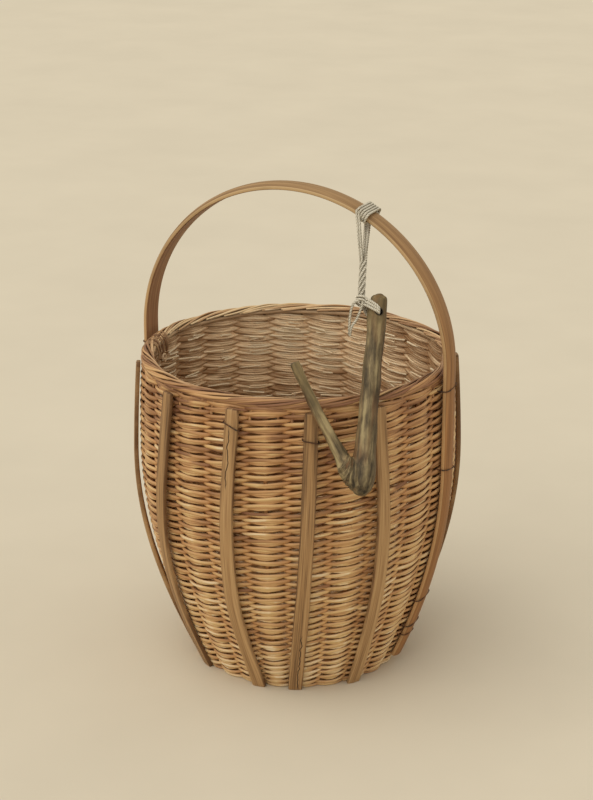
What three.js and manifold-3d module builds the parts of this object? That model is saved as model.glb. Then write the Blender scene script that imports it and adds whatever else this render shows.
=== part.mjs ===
import * as THREE from 'three';
import { mergeVertices } from 'three/addons/utils/BufferGeometryUtils.js';
import Module from 'manifold-3d';

// Apple picking basket: a round willow basket in a cage of bent splints, with a
// bentwood handle over the top and a forked branch hook hung from it on a cord.
// Millimetres. The origin is on the floor under the middle of the base, +Z is up
// and +X runs along the span of the handle.

const wasm = await Module();
wasm.setup();
const DEG = Math.PI / 180;

// Fit between pieces that touch
const SEAT_GAP = 0.3;

// Woven wall: outer radius at the base and the belly, and how far the mouth draws in
const BASE_RADIUS = 105;
const BELLY_RADIUS = 161;
const MOUTH_INSET = 4;
const BELLY_HEIGHT = 225;
const MOUTH_HEIGHT = 328;
const FLARE_POWER = 1.9;
const SHOULDER_POWER = 2.2;
const WALL_STEPS = 8;

// Thickness of the wall at a stake, and between two stakes, where the rows cross from face to face
const WALL_THICKNESS = 12;
const WALL_WAIST = 5.6;

// Bands of the weave, one on top of the other, as shares of the height of the wall
const BANDS = { foot: [0, 0.23], belly: [0.23, 0.62], top: [0.62, 1] };
const BAND_STEPS = 3;

// Border of plaited rods along the mouth
const BORDER_HALF_WIDTH = 7;
const BORDER_HALF_HEIGHT = 5.5;
const BORDER_SIDES = 10;

// Upright stakes inside the wall
const STAKE_COUNT = 24;
const STAKE_RADIUS = 2.5;
const STAKE_SIDES = 6;

// Base: a woven disc on a cross of two sets of sticks, one set run through slits in the other
const BASE_THICKNESS = 10;
const STICK_RADIUS = 3.5;
const STICK_SIDES = 8;
const SLIVER_HEIGHT = 3;
const STICKS_IN_SET = 3;
const STICK_END_INSET = 3;
const STICK_FAN_DEG = 30;
const CROSS_SPARE = 3;

// Cage: twelve places round the wall, two of them taken by the handle
const CAGE_PLACES = 12;
const STAVE_WIDTH = 14;
const STAVE_THICKNESS = 4.5;
const STAVE_TOP_DROP = 0.5;
const STAVE_BOW = 2.6;
const STRIP_REST = 0.5;

// Lean of a stave round the wall: at its foot, a third and two thirds of the way up, and its top
const STAVE_LEANS = {
  1: [0, 1, 3, 5],
  2: [3, 1, -1, -3],
  3: [-2, 0, 2, 3],
  4: [0, 2, 1, -2],
  5: [2, 0, -2, -4],
  7: [0, 0, 0, 0],
  8: [-6.5, -5, 6.5, 16],
  9: [10, 2.5, 5.5, 11],
  10: [-10, -5.5, -1, 2.5],
  11: [-4.5, -8, -11, -15],
};

// Handle: one bent strip, flat inside and crowned outside, both legs down the outside of the wall
const HANDLE_WIDTH = 24;
const HANDLE_THICKNESS = 6.5;
const HANDLE_EDGE = 3.5;
const HANDLE_FOOT = 12;
const HANDLE_STANDOFF = 4.7;
const HANDLE_SHIFT = -4;
const SPRING_ABOVE_MOUTH = 1.5;
const ARCH_RISE = 164.5;
const ARCH_STEPS = 28;
const LEG_STEPS = 8;
const CROWN_PLACES = [-1, -0.8, -0.45, 0, 0.45, 0.8, 1];

// Wire ties: place on the cage, share of the height of the wall and slant in degrees
const TIE_RADIUS = 0.6;
const TIE_BITE = 2.4;
const TIE_CORNER = 0.7;
const TIES = [
  [0, 0.983, 6],
  [0, 0.716, -8],
  [0, 0.263, 9],
  [0, 0.162, 5],
  [0, 0.123, -5],
  [6, 0.983, 5],
  [9, 0.947, 18],
  [10, 0.912, -12],
];

// Hook: a forked branch that leans on the border, limb up and prong beside it
const HOOK_PLACE_DEG = -50;
const HOOK_LEAN_DEG = 36;
const LIMB_RADIUS = 9.5;
const LIMB_ABOVE_RIM = 102.4;
const LIMB_BELOW_RIM = 96.6;
const LIMB_TILT_DEG = 13.7;
const LIMB_ASIDE = 29.3;
const PRONG_RADIUS = 5.2;
const PRONG_LENGTH = 123;
const PRONG_BOW = 2;
const FORK_BELOW_RIM = 81.6;
const FORK_ANGLE_DEG = 36;
const HOOK_SIDES = 12;
const HOLE_BELOW_TOP = 22;
const HOLE_RADIUS = 3.2;

// Radius along the limb and the prong: share of the length, share of the radius
const LIMB_SHAPE = [
  [0, 0.42],
  [0.02, 0.8],
  [0.07, 1.05],
  [0.22, 1.03],
  [0.45, 1],
  [0.75, 0.95],
  [0.93, 0.88],
  [0.98, 0.66],
  [1, 0.3],
];
const PRONG_SHAPE = [
  [0, 1.3],
  [0.33, 1.06],
  [0.66, 0.98],
  [0.92, 0.85],
  [0.98, 0.6],
  [1, 0.3],
];

// Cord: a winding on the bar, a free stretch, a knot, a loop through the hook and a tail
const CORD_RADIUS = 1.6;
const CORD_PLACE_DEG = 62.9;
const CORD_TURNS = 3;
const CORD_PITCH = 3.8;
const CORD_SIDES = 6;
const SLING_RADIUS = 4.2;
const SLING_START = 24;
const KNOT_RADIUS = 5.2;
const KNOT_ASIDE = 16.6;
const KNOT_BELOW_TOP = 10.5;
const TAIL_LENGTH = 30;
const TAIL_SIDES = 8;

// Finishes
const WILLOW = finish(0x8f7f66, 0.8);
const WILLOW_DARK = finish(0x756650, 0.85);
const SPLINT = finish(0xa89879, 0.7);
const BRANCH = finish(0x7d7460, 0.75);
const CORD = finish(0xb3a993, 0.9);
const WIRE = finish(0x55504a, 0.55, 0.8);

const WALL_SIDES = 2 * STAKE_COUNT;
const MOUTH_RADIUS = BELLY_RADIUS - MOUTH_INSET;
const SPRING_HEIGHT = MOUTH_HEIGHT + SPRING_ABOVE_MOUTH;
const WALL_TOP = MOUTH_HEIGHT - 2 * BORDER_HALF_HEIGHT - SEAT_GAP;
const BORDER_HEIGHT = MOUTH_HEIGHT - BORDER_HALF_HEIGHT;
const BORDER_RADIUS = MOUTH_RADIUS - WALL_THICKNESS / 2;
const STAVE_TOP = WALL_TOP - STAVE_TOP_DROP;
const HANDLE_SPAN = BELLY_RADIUS + HANDLE_STANDOFF + HANDLE_THICKNESS / 2;

function finish(color, roughness, metalness = 0) {
  return { color, roughness, metalness };
}

// Solids

function solid(geometry) {
  const loose = geometry.index ? geometry.toNonIndexed() : geometry;
  const bare = new THREE.BufferGeometry();
  bare.setAttribute('position', loose.getAttribute('position'));
  const merged = mergeVertices(bare, 1e-3);
  const mesh = new wasm.Mesh({
    numProp: 3,
    vertProperties: merged.getAttribute('position').array,
    triVerts: new Uint32Array(merged.index.array),
  });
  return new wasm.Manifold(mesh);
}

function surface(body) {
  const mesh = body.getMesh();
  const geometry = new THREE.BufferGeometry();
  geometry.setAttribute('position', new THREE.BufferAttribute(mesh.vertProperties, 3));
  geometry.setIndex(new THREE.BufferAttribute(mesh.triVerts, 1));
  return geometry;
}

function cut(geometry, tools) {
  const body = tools.reduce((rest, tool) => rest.subtract(solid(tool)), solid(geometry));
  return surface(body);
}

function join(geometries) {
  const body = geometries.map(solid).reduce((all, next) => all.add(next));
  return surface(body);
}

// Direction of a run of points at one of them
function along(points, i) {
  const before = points[Math.max(i - 1, 0)];
  const after = points[Math.min(i + 1, points.length - 1)];
  return after.clone().sub(before).normalize();
}

// Solid rod through points, with one radius or a radius at each point
function rod(points, radius, sides) {
  const radii = Array.isArray(radius) ? radius : points.map(() => radius);
  const start = along(points, 0);
  const guide = Math.abs(start.y) < 0.9 ? new THREE.Vector3(0, 1, 0) : new THREE.Vector3(1, 0, 0);
  const across = guide.cross(start);
  return skin(points.map((point, i) => {
    const forward = along(points, i);
    across.addScaledVector(forward, -across.dot(forward)).normalize();
    const other = forward.clone().cross(across);
    return polygon(sides, radii[i]).map(([a, b]) => (
      point.clone().addScaledVector(across, a).addScaledVector(other, b)
    ));
  }));
}

function polygon(sides, radius) {
  return steps(sides, 0, 2 * Math.PI).slice(0, -1).map((turn) => [
    radius * Math.cos(turn),
    radius * Math.sin(turn),
  ]);
}

// Solid strip along points: a section given outward and to a fixed side
function sweep(points, section, side) {
  return skin(points.map((point, i) => {
    const out = side.clone().cross(along(points, i));
    return section.map(([a, b]) => point.clone().addScaledVector(out, a).addScaledVector(side, b));
  }));
}

// Closed skin over a run of rings
function skin(rings) {
  const geometry = new THREE.BufferGeometry().setFromPoints(rings.flat());
  geometry.setIndex(rodFaces(rings.length, rings[0].length));
  return geometry;
}

function rodFaces(rings, sides) {
  const faces = [];
  for (let i = 0; i + 1 < rings; i += 1) {
    for (let k = 0; k < sides; k += 1) {
      const a = i * sides + k;
      const b = i * sides + ((k + 1) % sides);
      faces.push(a, b, b + sides, a, b + sides, a + sides);
    }
  }
  const last = (rings - 1) * sides;
  for (let k = 1; k + 1 < sides; k += 1) {
    faces.push(0, k + 1, k, last, last + k, last + k + 1);
  }
  return faces;
}

// Turned ring from a closed outline in radius and height
function ring(outline, sides) {
  const points = [...outline, outline[0]].map(([r, z]) => new THREE.Vector2(r, z));
  const geometry = new THREE.LatheGeometry(points, sides);
  geometry.rotateX(Math.PI / 2);
  geometry.rotateZ(Math.PI / 2);
  return geometry;
}

function steps(count, from, to) {
  return Array.from({ length: count + 1 }, (_, i) => from + ((to - from) * i) / count);
}

function between(table, at) {
  const last = table.length - 1;
  const k = table.findIndex(([x], i) => i === last || (i > 0 && x >= at));
  const [x0, y0] = table[k - 1];
  const [x1, y1] = table[k];
  return y0 + ((y1 - y0) * (at - x0)) / (x1 - x0);
}

// Basket

function wallRadius(z) {
  if (z < BELLY_HEIGHT) {
    const below = 1 - z / BELLY_HEIGHT;
    return BELLY_RADIUS - (BELLY_RADIUS - BASE_RADIUS) * below ** FLARE_POWER;
  }
  const above = (z - BELLY_HEIGHT) / (MOUTH_HEIGHT - BELLY_HEIGHT);
  return BELLY_RADIUS - (BELLY_RADIUS - MOUTH_RADIUS) * above ** SHOULDER_POWER;
}

// Share of the way from a stake to the waist between two stakes
function fromStake(turn) {
  return (1 - Math.cos(STAKE_COUNT * turn)) / 2;
}

function wallFace(z, turn) {
  return wallRadius(z) - (fromStake(turn) * (WALL_THICKNESS - WALL_WAIST)) / 2;
}

function wallInner(z) {
  return wallRadius(z) - WALL_THICKNESS;
}

function stakePath() {
  const heights = [SEAT_GAP, ...steps(WALL_STEPS, 0, WALL_TOP).slice(1, -1), WALL_TOP - SEAT_GAP];
  return heights.map((z) => new THREE.Vector3(wallRadius(z) - WALL_THICKNESS / 2, 0, z));
}

function stakeAngle(i) {
  return (2 * Math.PI * i) / STAKE_COUNT;
}

function stakeGeometry() {
  return rod(stakePath(), STAKE_RADIUS, STAKE_SIDES);
}

function stakeChannels() {
  const stake = stakePath();
  const last = stake.length - 1;
  const foot = stake[0].clone().addScaledVector(along(stake, 0), -BASE_THICKNESS);
  const tip = stake[last].clone().addScaledVector(along(stake, last), BASE_THICKNESS);
  const path = [foot, ...stake, tip];
  return Array.from({ length: STAKE_COUNT }, (_, i) => {
    const channel = rod(path, STAKE_RADIUS + SEAT_GAP, STAKE_SIDES);
    return channel.rotateZ(stakeAngle(i));
  });
}

// Draws a turned wall in between the stakes, so that a rib stands over each stake on both faces
function drawIn(wall) {
  const places = wall.getAttribute("position");
  for (let i = 0; i < places.count; i += 1) {
    const point = new THREE.Vector3().fromBufferAttribute(places, i);
    const share = fromStake(Math.atan2(point.y, point.x));
    const radius = Math.hypot(point.x, point.y);
    const middle = wallRadius(point.z) - WALL_THICKNESS / 2;
    const drawn = middle + (radius - middle) * (1 - share * (1 - WALL_WAIST / WALL_THICKNESS));
    places.setXY(i, (point.x * drawn) / radius, (point.y * drawn) / radius);
  }
  return wall;
}

// One band, with channels for the stakes and holes for the ties
function bandGeometry([low, high]) {
  const bottom = low ? low * WALL_TOP + SEAT_GAP : 0;
  const heights = steps(BAND_STEPS, bottom, high * WALL_TOP);
  const outside = heights.map((z) => [wallRadius(z), z]);
  const inside = heights.map((z) => [wallInner(z), z]).reverse();
  const shell = drawIn(ring([...outside, ...inside], WALL_SIDES));
  const holes = TIES.map((tie) => tieRod(tie, SEAT_GAP).rotateZ(tieAngle(tie)));
  return cut(shell, [...stakeChannels(), ...holes]);
}

function borderGeometry() {
  const outline = steps(BORDER_SIDES, 0, 2 * Math.PI).slice(0, -1).map((turn) => [
    BORDER_RADIUS + BORDER_HALF_WIDTH * Math.cos(turn),
    BORDER_HEIGHT + BORDER_HALF_HEIGHT * Math.sin(turn),
  ]);
  return ring(outline, WALL_SIDES);
}

// Base

const STICK_PITCH = 2 * STICK_RADIUS + SEAT_GAP;
const STICK_HEIGHT = BASE_THICKNESS / 2;
const BASE_CLEAR = SEAT_GAP + BASE_RADIUS * (1 - Math.cos(Math.PI / WALL_SIDES));
const STICK_REACH = wallInner(0) - BASE_CLEAR - STICK_END_INSET;
const CROSS_ROOM = STICK_PITCH * STICKS_IN_SET;
const UPRIGHT = new THREE.Vector3(0, 0, 1);

// Middle line of a base stick: straight through the cross, then opened out like a spoke
function stickLine(step, spare) {
  const turn = step * STICK_FAN_DEG * DEG;
  const shoulder = new THREE.Vector3(CROSS_ROOM / 2 + CROSS_SPARE, step * STICK_PITCH, STICK_HEIGHT);
  const end = new THREE.Vector3(STICK_REACH * Math.cos(turn), STICK_REACH * Math.sin(turn), STICK_HEIGHT);
  const beyond = end.clone().addScaledVector(end.clone().sub(shoulder).normalize(), spare);
  const half = spare ? [shoulder, end, beyond] : [shoulder, end];
  const other = half.map((point) => new THREE.Vector3(-point.x, point.y, point.z));
  return [...other.reverse(), ...half];
}

function slit() {
  const room = new THREE.BoxGeometry(CROSS_ROOM + SEAT_GAP, 4 * CROSS_ROOM, SLIVER_HEIGHT + 2 * SEAT_GAP);
  return room.translate(0, 0, STICK_HEIGHT);
}

function roundStick(step, spare = 0, gap = 0) {
  return sweep(stickLine(step, spare), polygon(STICK_SIDES, STICK_RADIUS + gap), UPRIGHT);
}

function piercedStick(step) {
  return cut(roundStick(step), [slit()]);
}

function sliverStick(step, spare = 0, gap = 0) {
  const wide = STICK_RADIUS + gap;
  const high = SLIVER_HEIGHT / 2 + gap;
  const section = [[wide, -high], [wide, high], [-wide, high], [-wide, -high]];
  return sweep(stickLine(step, spare), section, UPRIGHT).rotateZ(Math.PI / 2);
}

function stickSteps() {
  return Array.from({ length: STICKS_IN_SET }, (_, i) => i - (STICKS_IN_SET - 1) / 2);
}

function baseGeometry() {
  const top = wallInner(BASE_THICKNESS) - BASE_CLEAR;
  const bottom = wallInner(0) - BASE_CLEAR;
  const disc = new THREE.CylinderGeometry(top, bottom, BASE_THICKNESS, WALL_SIDES);
  disc.rotateX(Math.PI / 2).translate(0, 0, BASE_THICKNESS / 2);
  const tools = stickSteps().flatMap((step) => [
    roundStick(step, STICK_REACH, SEAT_GAP),
    sliverStick(step, STICK_REACH, SEAT_GAP),
  ]);
  return cut(disc, tools);
}

// Cage and handle

function placeAngle(place) {
  return (2 * Math.PI * place) / CAGE_PLACES;
}

function isHandlePlace(place) {
  return place % (CAGE_PLACES / 2) === 0;
}

function staveInner(z) {
  return wallRadius(z) + STRIP_REST + STAVE_BOW * Math.sin((Math.PI * z) / STAVE_TOP) ** 2;
}

function staveAngle(place, z) {
  const leans = STAVE_LEANS[place].map((lean, i, all) => [i / (all.length - 1), lean]);
  return placeAngle(place) + between(leans, z / STAVE_TOP) / wallRadius(z);
}

function staveGeometry(place) {
  return skin(steps(WALL_STEPS, 0, STAVE_TOP).map((z) => {
    const out = new THREE.Vector3(1, 0, 0).applyAxisAngle(UPRIGHT, staveAngle(place, z));
    const side = UPRIGHT.clone().cross(out);
    const corner = (rise, sign) => {
      const at = out.clone().multiplyScalar(staveInner(z) + rise).setZ(z);
      return at.addScaledVector(side, (sign * STAVE_WIDTH) / 2);
    };
    return [corner(STAVE_THICKNESS, -1), corner(STAVE_THICKNESS, 1), corner(0, 1), corner(0, -1)];
  }));
}

// Inside of a leg; the side is 1 for the leg at +X and -1 for the other
function legInner(z, side) {
  const rise = THREE.MathUtils.smoothstep(z, 0, BELLY_HEIGHT);
  const standoff = STRIP_REST + (HANDLE_STANDOFF + side * HANDLE_SHIFT - STRIP_REST) * rise;
  return wallRadius(Math.min(z, BELLY_HEIGHT)) + standoff;
}

// Height of the crowned face over the flat one, at a share of half the width
function handleRise(share) {
  return HANDLE_EDGE + (HANDLE_THICKNESS - HANDLE_EDGE) * (1 - share ** 2);
}

// Point on the middle of the arch: 0 and 180 degrees are the tops of the legs
function archPoint(turn) {
  const x = HANDLE_SHIFT + HANDLE_SPAN * Math.cos(turn);
  return new THREE.Vector3(x, 0, SPRING_HEIGHT + ARCH_RISE * Math.sin(turn));
}

function handleMiddle() {
  const leg = (side) => steps(LEG_STEPS, HANDLE_FOOT, BELLY_HEIGHT).map((z) => (
    new THREE.Vector3(side * (legInner(z, side) + HANDLE_THICKNESS / 2), 0, z)
  ));
  const arch = steps(ARCH_STEPS, 0, Math.PI).map(archPoint);
  return [...leg(1), ...arch, ...leg(-1).reverse()];
}

function handleGeometry() {
  const half = HANDLE_WIDTH / 2;
  const inside = -HANDLE_THICKNESS / 2;
  const crown = CROWN_PLACES.map((share) => [inside + handleRise(share), share * half]);
  const section = [...crown, [inside, half], [inside, -half]];
  return sweep(handleMiddle(), section, new THREE.Vector3(0, 1, 0));
}

// Face of a leg at a height, at a share of half the width: it leans as the leg does
function legFace(z, side, share) {
  const half = HANDLE_THICKNESS / 2;
  const slope = legInner(z + 0.5, side) - legInner(z - 0.5, side);
  return legInner(z, side) + half + (handleRise(share) - half) * Math.hypot(1, slope);
}

// Tie: over the face of a strip, down both edges and into the wall
function tieRod(tie, gap = 0) {
  const [place, share, slant] = tie;
  const onHandle = isHandlePlace(place);
  const half = (onHandle ? HANDLE_WIDTH : STAVE_WIDTH) / 2;
  const edge = half + SEAT_GAP + TIE_RADIUS;
  const heightAt = (y) => share * WALL_TOP + y * Math.tan(slant * DEG);
  const faceAt = (y) => {
    const z = heightAt(y);
    const part = THREE.MathUtils.clamp(y / half, -1, 1);
    return onHandle ? legFace(z, place ? -1 : 1, part) : staveInner(z) + STAVE_THICKNESS;
  };
  const biteAt = (y) => {
    const z = heightAt(y);
    return wallFace(z, tieAngle(tie) + Math.atan2(y, wallRadius(z))) - TIE_BITE;
  };
  const point = (x, y) => new THREE.Vector3(x, y, heightAt(y));
  const over = 1.35 * (SEAT_GAP + TIE_RADIUS);
  const bends = onHandle ? CROWN_PLACES.filter((part) => part > 0 && part < 1).reverse() : [];
  const leg = (sign) => [
    point(biteAt(sign * edge) - gap, sign * edge),
    point(faceAt(sign * edge) + over - TIE_CORNER, sign * edge),
    point(faceAt(sign * edge) + over, sign * (edge - TIE_CORNER)),
    ...bends.map((part) => point(faceAt(sign * part * half) + over, sign * part * half)),
  ];
  return rod([...leg(-1), ...leg(1).reverse()], TIE_RADIUS + gap, STAKE_SIDES);
}

function tieAngle([place, share]) {
  return isHandlePlace(place) ? placeAngle(place) : staveAngle(place, share * WALL_TOP);
}

// Hook, in its own plane: x along the rim, z up the slope, y into the basket

function limbPoint(above) {
  const tilt = LIMB_TILT_DEG * DEG;
  return new THREE.Vector3(LIMB_ASIDE + above * Math.sin(tilt), 0, above * Math.cos(tilt));
}

function prongPoint(share) {
  const turn = (LIMB_TILT_DEG - FORK_ANGLE_DEG) * DEG;
  const run = PRONG_LENGTH * share;
  const bow = PRONG_BOW * Math.sin(Math.PI * share);
  const root = limbPoint(-FORK_BELOW_RIM);
  const x = run * Math.sin(turn) - bow * Math.cos(turn);
  const z = run * Math.cos(turn) + bow * Math.sin(turn);
  return root.add(new THREE.Vector3(x, 0, z));
}

function limbAt(share) {
  return limbPoint(-LIMB_BELOW_RIM + (LIMB_ABOVE_RIM + LIMB_BELOW_RIM) * share);
}

function taper(shape, pointAt, radius) {
  const points = shape.map(([share]) => pointAt(share));
  const radii = shape.map(([, part]) => part * radius);
  return rod(points, radii, HOOK_SIDES);
}

function holePoint() {
  return limbPoint(LIMB_ABOVE_RIM - HOLE_BELOW_TOP);
}

function hookGeometry() {
  const limb = taper(LIMB_SHAPE, limbAt, LIMB_RADIUS);
  const prong = taper(PRONG_SHAPE, prongPoint, PRONG_RADIUS);
  const drill = new THREE.CylinderGeometry(HOLE_RADIUS, HOLE_RADIUS, 4 * LIMB_RADIUS, HOOK_SIDES);
  const hole = holePoint();
  drill.translate(hole.x, 0, hole.z);
  return cut(join([limb, prong]), [drill]);
}

// The plane of the hook leans out over the border and touches it at one place
function hookFrame(offset) {
  const place = HOOK_PLACE_DEG * DEG;
  const lean = HOOK_LEAN_DEG * DEG;
  const out = new THREE.Vector3(Math.cos(place), Math.sin(place), 0);
  const aside = new THREE.Vector3(-Math.sin(place), Math.cos(place), 0);
  const normal = out.clone().multiplyScalar(Math.cos(lean));
  normal.z = Math.sin(lean);
  const up = normal.clone().cross(aside);
  const frame = new THREE.Matrix4().makeBasis(aside, normal.clone().negate(), up);
  const origin = out.multiplyScalar(BORDER_RADIUS).addScaledVector(normal, offset);
  origin.z += BORDER_HEIGHT;
  return frame.setPosition(origin);
}

function borderClearance(point, radius) {
  const wide = Math.hypot(point.x, point.y) - BORDER_RADIUS;
  const high = point.z - BORDER_HEIGHT;
  const far = Math.hypot(wide, high);
  const thick = Math.hypot(BORDER_HALF_WIDTH * wide, BORDER_HALF_HEIGHT * high) / far;
  return far - thick - radius;
}

function hookClearance(offset) {
  const frame = hookFrame(offset);
  const gaps = steps(60, 0, 1).flatMap((share) => [
    borderClearance(limbAt(share).applyMatrix4(frame), LIMB_RADIUS * between(LIMB_SHAPE, share)),
    borderClearance(prongPoint(share).applyMatrix4(frame), PRONG_RADIUS * between(PRONG_SHAPE, share)),
  ]);
  return Math.min(...gaps);
}

function hookSeat() {
  let low = 0;
  let high = 4 * (LIMB_RADIUS + BORDER_HALF_WIDTH);
  for (let i = 0; i < 30; i += 1) {
    const middle = (low + high) / 2;
    if (hookClearance(middle) < SEAT_GAP) {
      low = middle;
    } else {
      high = middle;
    }
  }
  return hookFrame(high);
}

// Cord

const HOOK_FRAME = hookSeat();
const BAR_POINT = archPoint(CORD_PLACE_DEG * DEG);

function knotPoint() {
  const tilt = LIMB_TILT_DEG * DEG;
  const beside = limbPoint(LIMB_ABOVE_RIM - KNOT_BELOW_TOP);
  return beside.add(new THREE.Vector3(-KNOT_ASIDE * Math.cos(tilt), 0, KNOT_ASIDE * Math.sin(tilt)));
}

const KNOT_POINT = knotPoint().applyMatrix4(HOOK_FRAME);
const SLING_LENGTH = BAR_POINT.distanceTo(KNOT_POINT);
const SLING_DOWN = KNOT_POINT.clone().sub(BAR_POINT).normalize();

function slingPoint(run) {
  return BAR_POINT.clone().addScaledVector(SLING_DOWN, run);
}

function slingGeometry() {
  const end = SLING_LENGTH - KNOT_RADIUS - SEAT_GAP;
  return rod([slingPoint(SLING_START), slingPoint(end)], SLING_RADIUS, 2 * CORD_SIDES);
}

// One turn round the section of the bar, from the middle of its front edge over the top
function turnPoint(share) {
  const half = HANDLE_WIDTH / 2;
  const reach = HANDLE_THICKNESS / 2 + SEAT_GAP + CORD_RADIUS;
  const cap = (Math.PI * reach) / 2;
  const total = 4 * half + 4 * cap;
  const run = (share - Math.floor(share)) * total;
  const table = [
    [0, -half, Math.PI],
    [cap, -half, Math.PI / 2],
    [cap + 2 * half, half, Math.PI / 2],
    [3 * cap + 2 * half, half, -Math.PI / 2],
    [3 * cap + 4 * half, -half, -Math.PI / 2],
    [total, -half, -Math.PI],
  ];
  const y = between(table.map(([s, v]) => [s, v]), run);
  const turn = between(table.map(([s, , v]) => [s, v]), run);
  return [y + reach * Math.cos(turn), reach * Math.sin(turn)];
}

function windingPoint(turn) {
  const shift = (turn - CORD_TURNS / 2) * CORD_PITCH;
  const swing = CORD_PLACE_DEG * DEG + shift / HANDLE_SPAN;
  const middle = archPoint(swing);
  const out = new THREE.Vector3(ARCH_RISE * Math.cos(swing), 0, HANDLE_SPAN * Math.sin(swing)).normalize();
  const [y, rise] = turnPoint(turn);
  return middle.addScaledVector(out, rise).add(new THREE.Vector3(0, y, 0));
}

function windingPath() {
  const end = CORD_TURNS - 0.2;
  const loops = steps(Math.round(24 * end), 0, end).map(windingPoint);
  const straight = SLING_START - SEAT_GAP - 2.5 * CORD_RADIUS;
  const lead = new THREE.CatmullRomCurve3([
    slingPoint(SLING_START - SEAT_GAP),
    slingPoint(straight),
    loops[0].clone().add(new THREE.Vector3(CORD_RADIUS, 0, -3.5 * CORD_RADIUS)),
    loops[0],
    loops[1],
  ]);
  const bend = lead.getPoints(24).slice(8, 18);
  return [slingPoint(SLING_START - SEAT_GAP), slingPoint(straight), ...bend, ...loops];
}

// Least gap of a cord to itself, between places further apart along it than two turns of its own width
function ownGap(points, radius) {
  const fine = points.slice(1).flatMap((to, i) => (
    steps(3, 0, 1).slice(0, -1).map((share) => points[i].clone().lerp(to, share))
  ));
  const runs = fine.map(() => 0);
  for (let i = 1; i < fine.length; i += 1) {
    runs[i] = runs[i - 1] + fine[i].distanceTo(fine[i - 1]);
  }
  let least = Infinity;
  fine.forEach((a, i) => fine.forEach((b, j) => {
    if (runs[j] - runs[i] > 10 * radius) {
      least = Math.min(least, a.distanceTo(b) - 2 * radius);
    }
  }));
  return least;
}

function knotGeometry() {
  const knot = new THREE.SphereGeometry(KNOT_RADIUS, 12, 8);
  const at = knotPoint();
  return knot.translate(at.x, at.y, at.z);
}

// Loop from the knot into the hole, out at the back and home to the knot
function loopPath() {
  const knot = knotPoint();
  const hole = holePoint();
  const reach = LIMB_RADIUS + 2 * CORD_RADIUS;
  const out = (side) => {
    const toward = hole.clone().sub(knot).normalize().multiplyScalar(0.8);
    toward.y = -0.6 * side;
    const start = knot.clone().addScaledVector(toward, KNOT_RADIUS + SEAT_GAP);
    const near = knot.clone().addScaledVector(toward, KNOT_RADIUS + SEAT_GAP + 2 * CORD_RADIUS);
    const over = knot.clone().lerp(hole, 0.62);
    over.y = -side * reach;
    const mouth = hole.clone();
    mouth.y = -side * 0.86 * reach;
    return [start, near, over, mouth];
  };
  const curve = new THREE.CatmullRomCurve3([...out(1), hole, ...out(-1).reverse()]);
  return curve.getPoints(32);
}

function tailGeometry() {
  const start = KNOT_POINT.clone();
  start.z -= KNOT_RADIUS + SEAT_GAP;
  const end = start.clone();
  end.z -= TAIL_LENGTH;
  return rod([start, end], CORD_RADIUS, TAIL_SIDES);
}

// Assembly

const basket = new THREE.Group();
basket.name = 'apple_basket';

function addPiece(name, geometry, look, turn = 0, home = basket) {
  const flat = geometry.index ? geometry.toNonIndexed() : geometry;
  flat.computeVertexNormals();
  const piece = new THREE.Mesh(flat, new THREE.MeshStandardMaterial(look));
  piece.name = name;
  piece.rotation.z = turn;
  home.add(piece);
}

Object.entries(BANDS).forEach(([name, shares]) => {
  addPiece(`side_weave_${name}`, bandGeometry(shares), WILLOW);
});
addPiece('rim_border', borderGeometry(), WILLOW_DARK);
addPiece('base_weave', baseGeometry(), WILLOW);
stickSteps().forEach((step, i) => {
  addPiece(`base_stick_pierced_${i + 1}`, piercedStick(step), WILLOW_DARK);
  addPiece(`base_stick_through_${i + 1}`, sliverStick(step), WILLOW_DARK);
});
for (let i = 0; i < STAKE_COUNT; i += 1) {
  addPiece(`stake_${i + 1}`, stakeGeometry(), WILLOW_DARK, stakeAngle(i));
}
addPiece('handle', handleGeometry(), SPLINT);
for (let place = 0; place < CAGE_PLACES; place += 1) {
  if (!isHandlePlace(place)) {
    addPiece(`stave_${place}`, staveGeometry(place), SPLINT);
  }
}
TIES.forEach((tie, i) => {
  addPiece(`wire_tie_${i + 1}`, tieRod(tie), WIRE, tieAngle(tie));
});

const hookGroup = new THREE.Group();
HOOK_FRAME.decompose(hookGroup.position, hookGroup.quaternion, hookGroup.scale);
basket.add(hookGroup);
addPiece('hook', hookGeometry(), BRANCH, 0, hookGroup);
addPiece('cord_knot', knotGeometry(), CORD, 0, hookGroup);
addPiece('cord_hook_loop', rod(loopPath(), CORD_RADIUS, TAIL_SIDES), CORD, 0, hookGroup);
addPiece('cord_tail', tailGeometry(), CORD);
addPiece('cord_sling', slingGeometry(), CORD);
addPiece('cord_bar_winding', rod(windingPath(), CORD_RADIUS, CORD_SIDES), CORD);

const round = (point) => point.toArray().map((v) => v.toFixed(2)).join(' ');
console.log('cord winding, least gap to itself', ownGap(windingPath(), CORD_RADIUS).toFixed(2), 'mm');
console.log('hook loop, least gap to itself', ownGap(loopPath(), CORD_RADIUS).toFixed(2), 'mm');
console.log('bar point', round(BAR_POINT), 'knot point', round(KNOT_POINT));

export default basket;
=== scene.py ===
import math
import random

import bpy
import numpy as np
from bpy.props import FloatProperty, FloatVectorProperty, IntProperty, PointerProperty
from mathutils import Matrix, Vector, noise


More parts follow.
